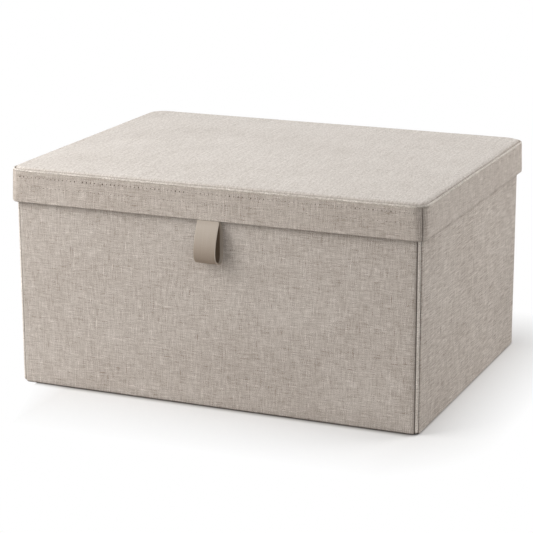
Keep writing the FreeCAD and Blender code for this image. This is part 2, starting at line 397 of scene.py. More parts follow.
@dataclass(frozen=True)
class LinenFinish:
    """A plain-woven slub linen, drawn thread by thread."""

    name: str
    light: Colour
    dark: Colour
    shade: Colour = colour(74, 63, 53)
    shades: tuple[Shade, ...] = ()
    thread_pitch: float = 0.92 * MM
    slub_length: float = 13.0 * MM
    slub_contrast: float = 1.3
    slub_share: float = 0.22
    fleck_contrast: float = 1.1
    fleck_width: float = 1.0 * MM
    fleck_length: float = 1.0 * MM
    gap_depth: float = 0.45
    patch_contrast: float = 0.35
    dash_length: float = 11.0 * MM
    dash_width: float = 0.85 * MM
    dash_contrast: float = 0.75
    crossing_dashes: float = 1.0
    relief: float = 0.22 * MM
    sheen: float = 0.12
    wander_scale: float = 45.0
    wander_depth: float = 1.4
    thread_step: float = 7.31
    pale_from: float = 0.66
    pale_to: float = 0.76
    patch_scale: float = 14.0
    roughness: float = 0.86

    def material(self) -> Material:
        """Builds the material.

        Returns:
            The linen.
        """
        graph = Graph(bpy.data.materials.new(self.name))
        across, along = graph.weave_place()
        wander = graph.cloud(across * self.wander_scale, along * self.wander_scale, 2.0) * self.wander_depth
        warp_count = across / self.thread_pitch + wander
        weft_count = along / self.thread_pitch + wander
        warp_number, weft_number = warp_count.floor(), weft_count.floor()
        warp = graph.cloud(along / self.slub_length, warp_number * self.thread_step, 3.0)
        weft = graph.cloud(across / self.slub_length, weft_number * self.thread_step, 9.0)
        warp_on_top = (warp_number + weft_number).odd()
        thread = weft + warp_on_top * (warp - weft)
        pale_slub = graph.math("MAXIMUM", warp, weft).between(self.pale_from, self.pale_to)
        dark_slub = graph.math("MINIMUM", warp, weft).between(1.0 - self.pale_from, 1.0 - self.pale_to)
        warp_round = graph.math("ABSOLUTE", (warp_count * math.pi).sine())
        weft_round = graph.math("ABSOLUTE", (weft_count * math.pi).sine())
        # painted shade: darker in the gaps between threads
        gap = (1.0 - warp_round) * (1.0 - weft_round)
        fleck = graph.cloud(across / self.fleck_width, along / self.fleck_length, 0.0, 2.0, 0.7)
        patch = graph.cloud(across * self.patch_scale, along * self.patch_scale, 5.0, 3.0)
        upright = graph.cloud(across / self.dash_width, along / self.dash_length, 7.0, 2.0, 0.6)
        crossing = graph.cloud(across / self.dash_length, along / self.dash_width, 8.0, 2.0, 0.6)
        dashes = (upright - 0.5) + (crossing - 0.5) * self.crossing_dashes
        tone = (
            0.5
            + (thread - 0.5) * self.slub_contrast
            + (pale_slub - dark_slub) * self.slub_share
            + (fleck - 0.5) * self.fleck_contrast
            - (gap - 0.15) * self.gap_depth
            + (patch - 0.5) * self.patch_contrast
            + dashes * self.dash_contrast
        )
        base = graph.blend(tone.clamped(), self.dark, self.light)
        # each painted shade darkens the colour towards the shade colour
        for shade in self.shades:
            base = graph.blend(shade.mask(graph), base, self.shade)
        crest = weft_round + warp_on_top * (warp_round - weft_round)
        height = crest * 0.5 + thread * 0.9 + pale_slub * 0.5 + fleck * 0.7 + dashes * 0.8
        return graph.surface(
            Base_Color=base,
            Roughness=self.roughness + (fleck - 0.5) * 0.3,
            Normal=graph.bump(height, self.relief, 0.8),
            Sheen_Weight=self.sheen,
            Sheen_Roughness=0.5,
            Specular_IOR_Level=0.25,
        )


@dataclass(frozen=True)
class LiningFinish:
    """A smooth non-woven lining cloth with short pressed fibres."""

    name: str = "lining cloth"
    light: Colour = colour(207, 199, 189)
    dark: Colour = colour(172, 162, 151)
    fibre: Point = (420.0, 1500.0)
    yarn: Point = (90.0, 620.0)
    patch_scale: float = 12.0

    def material(self) -> Material:
        """Builds the material.

        Returns:
            The lining.
        """
        graph = Graph(bpy.data.materials.new(self.name))
        across, along = graph.weave_place()
        fibres = graph.cloud(across * self.fibre[0], along * self.fibre[1], 0.0, 3.0)
        crossing = graph.cloud(across * self.fibre[1], along * self.fibre[0], 4.0, 3.0)
        threads = graph.cloud(across * self.yarn[0], along * self.yarn[1], 2.0)
        uprights = graph.cloud(across * self.yarn[1], along * self.yarn[0], 6.0)
        patch = graph.cloud(across * self.patch_scale, along * self.patch_scale, 8.0)
        tone = (fibres + crossing - 1.0) * 1.2 + (threads + uprights - 1.0) * 1.1 + patch
        base = graph.blend(tone.clamped(), self.dark, self.light)
        normal = graph.bump(fibres + crossing + threads + uprights, 0.08 * MM, 0.6)
        return graph.surface(
            Base_Color=base,
            Roughness=0.84 + (fibres - 0.5) * 0.2,
            Normal=normal,
            Specular_IOR_Level=0.3,
        )


@dataclass(frozen=True)
class LeatherFinish:
    """A fine-grained leather: faint lines along the strap, painted shade darkening it towards the loop's
    fold, and a paler cut edge.
    """

    name: str
    grain_side: Colour
    fold_shade_colour: Colour
    cut_edge: Colour
    strap_width: float
    fold_place: float
    fold_reach: float
    roughness: float = 0.5
    streak: Point = (1100.0, 22.0)
    grain: Point = (1700.0, 1300.0)
    cell_scale: float = 1500.0
    edge_from: float = 1.3 * MM
    edge_to: float = 0.3 * MM

    def material(self) -> Material:
        """Builds the material.

        Returns:
            The leather.
        """
        graph = Graph(bpy.data.materials.new(self.name))
        across, along = graph.weave_place()
        streak = graph.cloud(across * self.streak[0], along * self.streak[1], 0.0, 3.0)
        grain = graph.cloud(across * self.grain[0], along * self.grain[1], 2.0, 3.0)
        place = graph.node("ShaderNodeCombineXYZ", inputs={0: across, 1: along})
        sizes = {"Vector": place, "Scale": self.cell_scale}
        cells = graph.node("ShaderNodeTexVoronoi", {"feature": "DISTANCE_TO_EDGE"}, sizes)
        from_fold = graph.math("ABSOLUTE", along - self.fold_place)
        # painted shade: darker towards the fold, where the loop turns under
        shade_at_fold = 1.0 - from_fold.between(0.0, self.fold_reach)
        tone = shade_at_fold + (streak - 0.5) * 0.45 + (grain - 0.5) * 0.5
        body = graph.blend(tone.clamped(), self.grain_side, self.fold_shade_colour)
        half = self.strap_width / 2
        edge = graph.math("ABSOLUTE", across).between(half - self.edge_from, half - self.edge_to)
        height = cells.between(0.0, 0.25) * 0.6 + streak * 0.6 + grain * 0.4
        return graph.surface(
            Base_Color=graph.blend(edge * 0.75, body, self.cut_edge),
            Roughness=self.roughness + (grain - 0.5) * 0.25,
            Normal=graph.bump(height, 0.06 * MM, 0.6),
            Specular_IOR_Level=0.35,
        )


@dataclass(frozen=True)
class BoardFinish:
    """Pressed grey board with paper flecks."""

    name: str = "grey board"
    light: Colour = colour(168, 160, 148)
    dark: Colour = colour(134, 125, 112)
    fleck_scale: float = 700.0
    patch_scale: float = 40.0

    def material(self) -> Material:
        """Builds the material.

        Returns:
            The board.
        """
        graph = Graph(bpy.data.materials.new(self.name))
        x, y, z = graph.place()
        fleck = graph.cloud(*(part * self.fleck_scale for part in (x, y, z)), 3.0, 0.6)
        patch = graph.cloud(*(part * self.patch_scale for part in (x, y, z)))
        tone = 0.5 + (fleck - 0.5) * 1.6 + (patch - 0.5) * 0.8
        base = graph.blend(tone.clamped(), self.dark, self.light)
        return graph.surface(
            Base_Color=base,
            Roughness=0.88 + (patch - 0.5) * 0.15,
            Normal=graph.bump(fleck, 0.08 * MM, 0.5),
        )


@dataclass(frozen=True)
class FoamFinish:
    """Open-cell foam, pale and porous."""

    name: str = "foam pad"
    light: Colour = colour(236, 230, 214)
    dark: Colour = colour(196, 187, 166)
    cell_scale: float = 900.0

    def material(self) -> Material:
        """Builds the material.

        Returns:
            The foam.
        """
        graph = Graph(bpy.data.materials.new(self.name))
        place = graph.node("ShaderNodeTexCoord", output="Object")
        cells = graph.node("ShaderNodeTexVoronoi", inputs={"Vector": place, "Scale": self.cell_scale})
        # painted shade: darker in the pores
        pores = cells.between(0.1, 0.6)
        return graph.surface(
            Base_Color=graph.blend(pores, self.dark, self.light),
            Roughness=0.9 + pores * 0.08,
            Normal=graph.bump(pores, 0.2 * MM, 0.5),
        )


@dataclass(frozen=True)
class ThreadFinish:
    """Twisted sewing thread, or the shade of a needle hole."""

    name: str
    light: Colour
    dark: Colour
    twist_scale: float = 9000.0
    fuzz_scale: float = 2500.0

    def material(self) -> Material:
        """Builds the material.

        Returns:
            The thread.
        """
        graph = Graph(bpy.data.materials.new(self.name))
        x, y, z = graph.place()
        twist = ((x + y + z) * self.twist_scale).sine() * 0.5 + 0.5
        fuzz = graph.cloud(*(part * self.fuzz_scale for part in (x, y, z)))
        return graph.surface(
            Base_Color=graph.blend((twist * 0.6 + fuzz * 0.4).clamped(), self.dark, self.light),
            Roughness=0.75 + (fuzz - 0.5) * 0.2,
            Normal=graph.bump(twist, 0.05 * MM, 0.5),
        )


@dataclass(frozen=True)
class FloorFinish:
    """A pale floor: painted contact shadow at the box's foot, real shadow nearby thinned by a painted white
    glow, white further off.
    """

    name: str = "studio floor"
    shade: Colour = colour(229, 227, 225)
    contact_shadow: Colour = colour(92, 82, 74)
    half_width: float = 0.198
    left_half_width: float = 0.185
    half_depth: float = 0.148
    corner: float = 0.010
    contact_reach: float = 0.011
    least_glow: float = 0.16
    glow_reach: float = 0.110
    glow_power: float = 0.75
    left_haste: float = 8.0
    fade_half_width: float = 0.150
    fade_haste: float = 3.0
    right_haste: float = 0.5
    contact_haste: float = 2.0
    speck_scale: float = 60.0

    def material(self) -> Material:
        """Builds the material.

        Returns:
            The floor's material.
        """
        graph = Graph(bpy.data.materials.new(self.name))
        x, y, _ = graph.place()
        over = graph.past(self.half_width, self.half_depth)
        over_x, over_y = (graph.math("MAXIMUM", value + self.corner, 0.0) for value in over)
        beyond = graph.math("SQRT", over_x * over_x + over_y * over_y) - self.corner
        right = graph.math("MAXIMUM", x - self.half_width, 0.0)
        left = graph.math("MAXIMUM", 0.0 - x - self.left_half_width, 0.0) * self.left_haste
        fade = graph.math("MAXIMUM", 0.0 - x - self.fade_half_width, 0.0) * self.fade_haste
        distance = beyond + left + right * self.contact_haste
        spread = graph.math("MAXIMUM", beyond + fade + right * self.right_haste, 0.0)
        # painted light: a white glow seen by the camera rises with the distance from the box, faster to the
        # left, and thins the floor's real shadow
        rise = graph.math("POWER", (spread / self.glow_reach).clamped(), self.glow_power)
        # clear is 0 at the box's foot, where the painted contact shadow darkens the floor's colour
        clear = distance.between(-0.3 * self.contact_reach, self.contact_reach)
        glow = (self.least_glow + (1.0 - self.least_glow) * rise) * clear
        seen = graph.seen_by("Is Camera Ray", "Is Transmission Ray")
        speck = graph.cloud(x * self.speck_scale, y * self.speck_scale)
        pale = graph.blend(speck * 0.06, self.shade, WHITE)
        matt = graph.node(
            "ShaderNodeBsdfPrincipled",
            inputs={
                "Base Color": graph.blend(clear, self.contact_shadow, pale),
                "Roughness": 0.9,
                "Specular IOR Level": 0.1,
            },
        )
        white = graph.node("ShaderNodeEmission", inputs={"Color": WHITE, "Strength": 1.0})
        return graph.end(graph.node("ShaderNodeMixShader", inputs={0: glow * seen, 1: matt, 2: white}))


# Meshes


def steps(low: float, high: float, count: int) -> list[float]:
    """Evenly spaced values from low to high, with count intervals."""
    return [low + (high - low) * index / count for index in range(count + 1)]


def fine_steps(low: float, high: float, pitch: float) -> list[float]:
    """Values from low to high, about a pitch apart."""
    return steps(low, high, max(1, round(abs(high - low) / pitch)))


@contextlib.contextmanager
def edited(mesh: Mesh) -> Iterator[bmesh.types.BMesh]:
    """Opens a mesh for editing and writes the changes back.

    Args:
        mesh: The mesh.

    Yields:
        Its editable form.
    """
    work = bmesh.new()
    work.from_mesh(mesh)
    yield work
    work.to_mesh(mesh)
    work.free()


def link_object(name: str, data: bpy.types.ID) -> Object:
    """Puts an object into the scene at the origin.

    Args:
        name: Its name.
        data: Its mesh, lamp or camera.

    Returns:
        The new object.
    """
    made = bpy.data.objects.new(name, data)
    bpy.context.scene.collection.objects.link(made)
    return made


def add_object(name: str, mesh: Mesh, material: Material) -> Object:
    """Makes a piece, shaded smooth except over its sharp edges.

    Args:
        name: The piece's name.
        mesh: Its mesh.
        material: Its finish, unless the mesh has one.

    Returns:
        The new object.
    """
    with edited(mesh) as work:
        for face in work.faces:
            face.smooth = True
        for edge in work.edges:
            edge.smooth = len(edge.link_faces) == 2 and edge.calc_face_angle(0.0) < SHARP_ANGLE
    if not mesh.materials:
        mesh.materials.append(material)
    return link_object(name, mesh)


def dress(mesh: Mesh, material: Material, slot: str, body: str | None, *nodes: str) -> Object:
    """Makes a piece with its mesh's name, hides the CAD nodes it stands for and hangs it on its body.

    Args:
        mesh: The piece's mesh.
        material: Its finish.
        slot: Not used.
        body: The body on which it rides, or None to hang it on no body.
        *nodes: The CAD nodes for which it stands.

    Returns:
        The piece.
    """
    piece = add_object(mesh.name, mesh, material)
    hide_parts(*nodes)
    if body:
        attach(piece, body)
    return piece


def lay_sheet(piece: Object, width: float, length: float, *boards: str, held: str = "stretched") -> None:
    """Reckons a sheet's flat size in metres from millimetres and keeps nothing; how it is held and on what it
    rests are not used.
    """
    width * MM
    length * MM


def grid_mesh(
    name: str,
    rows: Sequence[Sequence[Vector]],
    places: Sequence[Sequence[Point]],
    facing: Facing = Facing.OUTWARD,
    closed: bool = False,
    skip: Callable[[Vector], bool] | None = None,
) -> Mesh:
    """Makes a sheet of quads.

    Args:
        name: The mesh's name.
        rows: The points, row by row, in millimetres.
        places: The cloth coordinates of the same points, in millimetres.
        facing: Which side shows.
        closed: True if the last point of a row meets the first.
        skip: Tells from a quad's middle, in millimetres, whether it is left out.

    Returns:
        The mesh, in metres.
    """
    count = len(rows[0])
    points = [point * MM for row in rows for point in row]
    flat_places = [place for row in places for place in row]
    faces, corners = [], []
    columns = count if closed else count - 1
    for line in range(len(rows) - 1):
        for column in range(columns):
            after = (column + 1) % count
            quad = [
                line * count + column,
                (line + 1) * count + column,
                (line + 1) * count + after,
                line * count + after,
            ]
            if skip and skip(sum((points[i] for i in quad), Vector()) / (4 * MM)):
                continue
            spots = [flat_places[i] for i in quad]
            if closed and after == 0:
                run = spots[1][0] - flat_places[line * count][0]
                pitch = run / max(1, count - 1)
                spots[2] = (spots[1][0] + pitch, spots[2][1])
                spots[3] = (spots[0][0] + pitch, spots[3][1])
            if facing is Facing.INWARD:
                quad.reverse()
                spots.reverse()
            faces.append(quad)
            corners.extend(spots)
    mesh = bpy.data.meshes.new(name)
    mesh.from_pydata(points, [], faces)
    layer = mesh.uv_layers.new(name=WEAVE_MAP)
    for loop, place in zip(layer.data, corners):
        loop.uv = (place[0] * MM, place[1] * MM)
    return mesh


def settled(carrier: Object) -> Mesh:
    """Takes the mesh that a carrier's modifiers make, and removes the carrier.

    Args:
        carrier: An object with modifiers.

    Returns:
        A plain mesh.
    """
    made = bpy.data.meshes.new_from_object(carrier.evaluated_get(bpy.context.evaluated_depsgraph_get()))
    carrier.modifiers.clear()
    bpy.data.objects.remove(carrier)
    return made


def thicken(mesh: Mesh, thickness: float) -> Mesh:
    """Gives a sheet its thickness behind its face.

    Args:
        mesh: The sheet.
        thickness: In millimetres.

    Returns:
        A closed shell.
    """
    name = mesh.name
    carrier = link_object("carrier", mesh)
    wall = carrier.modifiers.new("thickness", "SOLIDIFY")
    wall.thickness = thickness * MM
    wall.offset = -1.0
    wall.use_even_offset = True
    wall.thickness_clamp = 0.0
    shell = settled(carrier)
    bpy.data.meshes.remove(mesh)
    shell.name = name
    return shell


def turned(point: Vector, side: Side) -> Vector:
    """Turns a point from the front to its own side."""
    return Matrix.Rotation(math.radians(side.value), 3, "Z") @ point


def bezier(start: Point, middle: Point, end: Point, count: int) -> list[Point]:
    """Points on a soft bend.

    Args:
        start: Where it starts.
        middle: The corner that it rounds.
        end: Where it ends.
        count: The number of intervals.

    Returns:
        count + 1 points.
    """
    return [
        tuple((1 - s) * (1 - s) * a + 2 * (1 - s) * s * b + s * s * c for a, b, c in zip(start, middle, end))
        for s in steps(0.0, 1.0, count)
    ]


def round_run(centre: Point, radius: float, first: float, last: float, count: int) -> list[Point]:
    """Points on an arc, whose angles run from the second axis's negative end towards the first axis.

    Args:
        centre: The arc's centre.
        radius: Its radius.
        first: The angle at which it starts, in degrees.
        last: The angle at which it ends.
        count: The number of intervals.

    Returns:
        count + 1 points.
    """
    return [
        (centre[0] + radius * math.sin(math.radians(a)), centre[1] - radius * math.cos(math.radians(a)))
        for a in steps(first, last, count)
    ]


def on_arc(centre: Point, radius: float, angle: float) -> Point:
    """The point of an arc at one angle."""
    return round_run(centre, radius, angle, angle, 1)[0]


def whole_line(corner: list[Point], flat_x: Sequence[float], y: float) -> list[Point]:
    """A side's plan line: its mirrored corner, its straight run at y and its corner."""
    return [(-x, depth) for x, depth in reversed(corner)] + [(x, y) for x in flat_x] + corner


def limited(value: float) -> float:
    """A value held between 0 and 1."""
    return min(1.0, max(0.0, value))


def lengths(points: Sequence[Point]) -> list[float]:
    """How far along a line each of its points lies.

    Args:
        points: The line.

    Returns:
        As many lengths, the first 0.
    """
    total = [0.0]
    for before, after in zip(points, points[1:]):
        total.append(total[-1] + math.dist(before, after))
    return total


def rounded_outline(half_x: float, half_y: float, radius: float, pitch: float, bends: int = 8) -> list[Point]:
    """A closed outline with rounded corners, from the middle of the front and turning left.

    Args:
        half_x: Half its width.
        half_y: Half its depth.
        radius: Its corner radius.
        pitch: The spacing on its straight runs.
        bends: The number of intervals in a corner.

    Returns:
        Its points, the first not repeated.
    """
    x, y = half_x - radius, half_y - radius
    outline: list[Point] = [(value, -half_y) for value in fine_steps(0.0, x, pitch)[:-1]]
    outline += round_run((x, -y), radius, 0.0, 90.0, bends)
    outline += [(half_x, value) for value in fine_steps(-y, y, pitch)[1:-1]]
    outline += round_run((x, y), radius, 90.0, 180.0, bends)
    outline += [(value, half_y) for value in fine_steps(x, -x, pitch)[1:-1]]
    outline += round_run((-x, y), radius, 180.0, 270.0, bends)
    outline += [(-half_x, value) for value in fine_steps(y, -y, pitch)[1:-1]]
    outline += round_run((-x, -y), radius, 270.0, 360.0, bends)
    outline += [(value, -half_y) for value in fine_steps(-x, 0.0, pitch)[1:-1]]
    return outline


def drawn_in_grid(
    half_x: float, half_y: float, radius: float, insets: Sequence[float], heights: Sequence[float]
) -> tuple[list[Vector], list[tuple[int, int, int, int]]]:
    """A rounded plate as a grid without poles, whose height follows the distance from its edge.

    Args:
        half_x: Half its width.
        half_y: Half its depth.
        radius: The corner radius at its edge.
        insets: Distances from the edge, from 0 to half its depth.
        heights: The level at each inset.

    Returns:
        The points in millimetres, and the quads, which face up.
    """
    marks = [1.0 - inset / half_y for inset in insets]
    line = [-m for m in marks] + [m for m in reversed(marks[:-1])]
    rings = list(zip(insets, heights))
    points, index = [], {}
    for row, v in enumerate(line):
        for column, u in enumerate(line):
            depth = min(row, column, 2 * len(marks) - 2 - row, 2 * len(marks) - 2 - column)
            inset, height = rings[depth]
            share = inset / half_y
            ring_x = half_x - inset * (1.0 + (half_x / half_y - 1.0) * share * share * (3 - 2 * share))
            ring_y = half_y - inset
            mark = max(marks[depth], 1e-9)
            x, y = u / mark * ring_x, v / mark * ring_y
            corner = min(radius + 1.2 * inset, 0.9 * ring_y)
            x, y = round_off(x, y, ring_x, ring_y, corner)
            index[row, column] = len(points)
            points.append(Vector((x, y, height)))
    cells = range(len(line) - 1)
    quads = [
        (index[row, column], index[row, column + 1], index[row + 1, column + 1], index[row + 1, column])
        for row in cells
        for column in cells
    ]
    return points, quads


def round_off(x: float, y: float, half_x: float, half_y: float, radius: float) -> Point:
    """Moves a point of a rectangle's edge onto the rounded corner beside it.

    Args:
        x: The point's first coordinate.
        y: Its second coordinate.
        half_x: Half the rectangle's width.
        half_y: Half its depth.
        radius: Its corner radius.

    Returns:
        The moved point.
    """
    over_x, over_y = abs(x) - (half_x - radius), abs(y) - (half_y - radius)
    if over_x <= 0.0 or over_y <= 0.0 or radius <= 0.0:
        return x, y
    reach = math.hypot(over_x, over_y)
    longest = max(over_x, over_y)
    x_out = half_x - radius + over_x / reach * longest
    y_out = half_y - radius + over_y / reach * longest
    return math.copysign(x_out, x), math.copysign(y_out, y)


def plate_mesh(name: str, points: Sequence[Vector], quads: Sequence[tuple[int, ...]]) -> Mesh:
    """A plate with its cloth coordinates read from above.

    Args:
        name: The mesh's name.
        points: Its points in millimetres.
        quads: Its faces.

    Returns:
        The mesh, in metres.
    """
    mesh = bpy.data.meshes.new(name)
    mesh.from_pydata([point * MM for point in points], [], quads)
    layer = mesh.uv_layers.new(name=WEAVE_MAP)
    for loop in mesh.loops:
        place = mesh.vertices[loop.vertex_index].co
        layer.data[loop.index].uv = (place.x, place.y)
    return mesh


def plate(
    name: str, half: Point, radius: float, level: float, thickness: float, facing: Facing = Facing.OUTWARD
) -> Mesh:
    """A level plate with rounded corners.

    Args:
        name: The mesh's name.
        half: Half its width and half its depth.
        radius: Its corner radius.
        level: The level of the face that shows.
        thickness: Its thickness behind that face.
        facing: OUTWARD if the face looks up, INWARD if it looks down.

    Returns:
        The closed mesh.
    """
    insets = [*FLAT_INSETS, *steps(20.0, half[1], 7)]
    points, quads = drawn_in_grid(*half, radius, insets, [level] * len(insets))
    if facing is Facing.INWARD:
        quads = [tuple(reversed(quad)) for quad in quads]
    return thicken(plate_mesh(name, points, quads), thickness)


def close_ends(mesh: Mesh, count: int) -> None:
    """Closes the first and the last row of a tube and points its faces outwards.

    Args:
        mesh: The tube.
        count: The number of points in a row.
    """
    with edited(mesh) as work:
        work.verts.ensure_lookup_table()
        layer = work.loops.layers.uv[WEAVE_MAP]
        for ring in (work.verts[:count], work.verts[-count:]):
            middle = work.verts.new(sum((vertex.co for vertex in ring), Vector()) / count)
            for before, after in zip(ring, ring[1:] + ring[:1]):
                face = work.faces.new((before, after, middle))
                for loop in face.loops:
                    loop[layer].uv = (loop.vert.co.x, loop.vert.co.y)
        bmesh.ops.recalc_face_normals(work, faces=work.faces)


def ripple(point: Vector, wavelength: float, seed: float) -> float:
    """A soft random swell between about -1 and 1 at a point in millimetres."""
    return noise.noise(Vector((point.x, point.y, point.z)) / wavelength + Vector((seed, seed, seed)))


@dataclass(frozen=True)
class Swell:
    """The soft waves of a glued cloth between two levels, at which it lies flat."""

    low: float
    high: float
    fade: float
    depth: float
    wavelength: float
    seed: float

    def at(self, point: Vector) -> float:
        """How far the cloth stands out at a point, in millimetres."""
        share = min(1.0, max(0.0, point.z - self.low) / self.fade, max(0.0, self.high - point.z) / self.fade)
        return share * self.depth * ripple(point, self.wavelength, self.seed)


# The finishes


@dataclass(frozen=True)
class Finishes:
    """Every finish of the box, built once."""

    wall_linen: Material
    side_linen: Material
    rim_linen: Material
    top_linen: Material
    bead_linen: Material
    piping_linen: Material
    lining: Material
    strap: Material
    strap_back: Material
    board: Material
    foam: Material
    thread: Material
    needle_hole: Material

    @classmethod
    def make(cls) -> "Finishes":
        """Builds the materials.

        Returns:
            All of them.
        """
        seam = (197.38 * MM, 147.38 * MM)
        corner_difference = 50.0 * MM
        # painted shadow under the lid rim's lower edge, on all four panels
        under_rim_level = 177.4 * MM
        wall = LinenFinish(
            "wall linen",
            colour(223, 215, 207),
            colour(150, 136, 124),
            # painted shade in and beside the corner grooves, at the panels' foot and below the lid's rim
            shades=(
                SeamShade(1.9 * MM, 3.2 * MM, 0.68, *seam),
                SeamShade(2.5 * MM, 8.0 * MM, 0.1, *seam),
                LevelShade(0.4 * MM, 2.2 * MM, 0.8),
                UnderRimShade(0.8 * MM, 6.0 * MM, 0.13, under_rim_level),
            ),
        )
        side = replace(
            wall,
            name="side linen",
            light=colour(222, 213, 204),
            dark=colour(148, 134, 122),
            # painted shade: lighter in the corner grooves, broad and faint towards the side's corners, at the
            # foot and below the lid's rim
            shades=(
                SeamShade(1.9 * MM, 3.0 * MM, 0.3, *seam),
                SeamShade(2.5 * MM, 110.0 * MM, 0.07, *seam),
                LevelShade(0.3 * MM, 1.5 * MM, 0.6),
                UnderRimShade(0.8 * MM, 6.0 * MM, 0.08, under_rim_level),
            ),
            slub_contrast=1.4,
            fleck_contrast=1.3,
            dash_length=18.0 * MM,
            dash_contrast=1.0,
            dash_width=0.8 * MM,
            crossing_dashes=1.8,
        )
        rim = LinenFinish(
            "rim linen",
            colour(219, 210, 201),
            colour(147, 133, 121),
            # painted shade: a thin line along the corner seams and a dark line at the rim's lower edge
            shades=(
                DiagonalShade(0.1 * MM, 0.55 * MM, 0.3, corner_difference),
                LevelShade(178.15 * MM, 178.9 * MM, 0.6),
            ),
        )
        top = LinenFinish(
            "top linen",
            colour(239, 232, 225),
            colour(185, 174, 163),
            shade=colour(120, 100, 82),
            # painted shade in the crease above the piping
            shades=(LevelShade(209.3 * MM, 210.4 * MM, 0.4),),
            slub_length=30.0 * MM,
            slub_contrast=0.6,
            slub_share=0.06,
            fleck_contrast=2.0,
            fleck_width=1.2 * MM,
            fleck_length=4.2 * MM,
            gap_depth=0.1,
            dash_length=38.0 * MM,
            dash_width=2.6 * MM,
            dash_contrast=0.7,
            crossing_dashes=0.15,
            relief=0.16 * MM,
            sheen=0.2,
        )
        # bead linen: lighter than the wall linen, a painted highlight on the bead's crest, with painted shade
        # on its flanks
        bead = LinenFinish(
            "bead linen",
            colour(255, 247, 238),
            colour(184, 173, 162),
            shades=(BeadShade(0.2 * MM, 1.2 * MM, 0.35, *seam),),
            slub_contrast=1.0,
            fleck_contrast=2.0,
        )
        # piping linen: lighter than the rim linen, a painted highlight along the cord
        cord = LinenFinish(
            "piping linen",
            colour(246, 238, 229),
            colour(176, 166, 155),
            slub_contrast=1.2,
            fleck_contrast=1.6,
            fleck_width=1.6 * MM,
            fleck_length=1.6 * MM,
        )
        # the strap's second colour is painted shade towards the loop's fold
        strap = LeatherFinish(
            "strap leather",
            colour(176, 164, 151),
            colour(139, 123, 107),
            colour(192, 180, 166),
            22.0 * MM,
            61.0 * MM,
            42.0 * MM,
        )
        # inside of the loop: darker partly as the leather's flesh side and partly painted shadow inside the
        # loop
        strap_back = LeatherFinish(
            "strap leather back",
            colour(124, 106, 88),
            colour(96, 80, 64),
            colour(196, 184, 170),
            22.0 * MM,
            61.0 * MM,
            38.0 * MM,
            0.8,
        )
        thread = ThreadFinish("seam thread", colour(212, 202, 191), colour(168, 156, 143))
        # needle holes: dark dots of painted shade where the stitches sink in
        hole = ThreadFinish("needle hole", colour(92, 80, 68), colour(62, 52, 43))
        cloths = (wall, side, rim, top, bead, cord, LiningFinish())
        others = (strap, strap_back, BoardFinish(), FoamFinish(), thread, hole)
        return cls(*(finish.material() for finish in cloths + others))


# The sub-assemblies


@dataclass
class Cover:
    """One cloth panel of a side, swept from its plan lines along an upright profile."""

    side: Side
    outer: list[Point]
    inner: list[Point]
    under: list[Point]
    inner_inset: float
    under_inset: float

    def sweep(
        self,
        name: str,
        profile: Sequence[Point],
        turn_row: int,
        thickness: float,
        swell: Swell,
        shape: Callable[[Vector], Vector] = Vector,
        skip: Callable[[Vector], bool] | None = None,
    ) -> Mesh:
        """Sweeps the panel.

        Args:
            name: The mesh's name.
            profile: Inset and level of each row, in millimetres, in order down the outer face.
            turn_row: The first row that bends in towards the under line instead of the inner line.
            thickness: The cloth's thickness in millimetres.
            swell: The waves of its outer face.
            shape: Moves a point, placed as on the front, to where the cloth is drawn.
            skip: Tells which quads are left out, from a middle turned back to the front.

        Returns:
            The closed cloth.
        """
        widths = lengths(self.outer)
        middle = widths[-1] / 2
        drops = lengths(profile)
        rows, places = [], []
        for row, (inset, level) in enumerate(profile):
            under = row >= turn_row
            inwards, full = (self.under, self.under_inset) if under else (self.inner, self.inner_inset)
            share = inset / full
            line = []
            for out, into in zip(self.outer, inwards):
                x = out[0] + (into[0] - out[0]) * share
                y = out[1] + (into[1] - out[1]) * share
                point = shape(Vector((x, y, level)))
                if inset == 0.0:
                    point.y -= swell.at(turned(point, self.side))
                line.append(turned(point, self.side))
            rows.append(line)
            own_cut = SIDE_OFFSET * self.side.value / 90.0 - middle
            places.append([(width + own_cut, -drops[row]) for width in widths])
        mesh = thicken(grid_mesh(name, rows, places, skip=skip), thickness)
        lowest = min(level for _, level in profile) * MM
        for vertex in mesh.vertices:
            vertex.co.z = max(vertex.co.z, lowest)
        return mesh


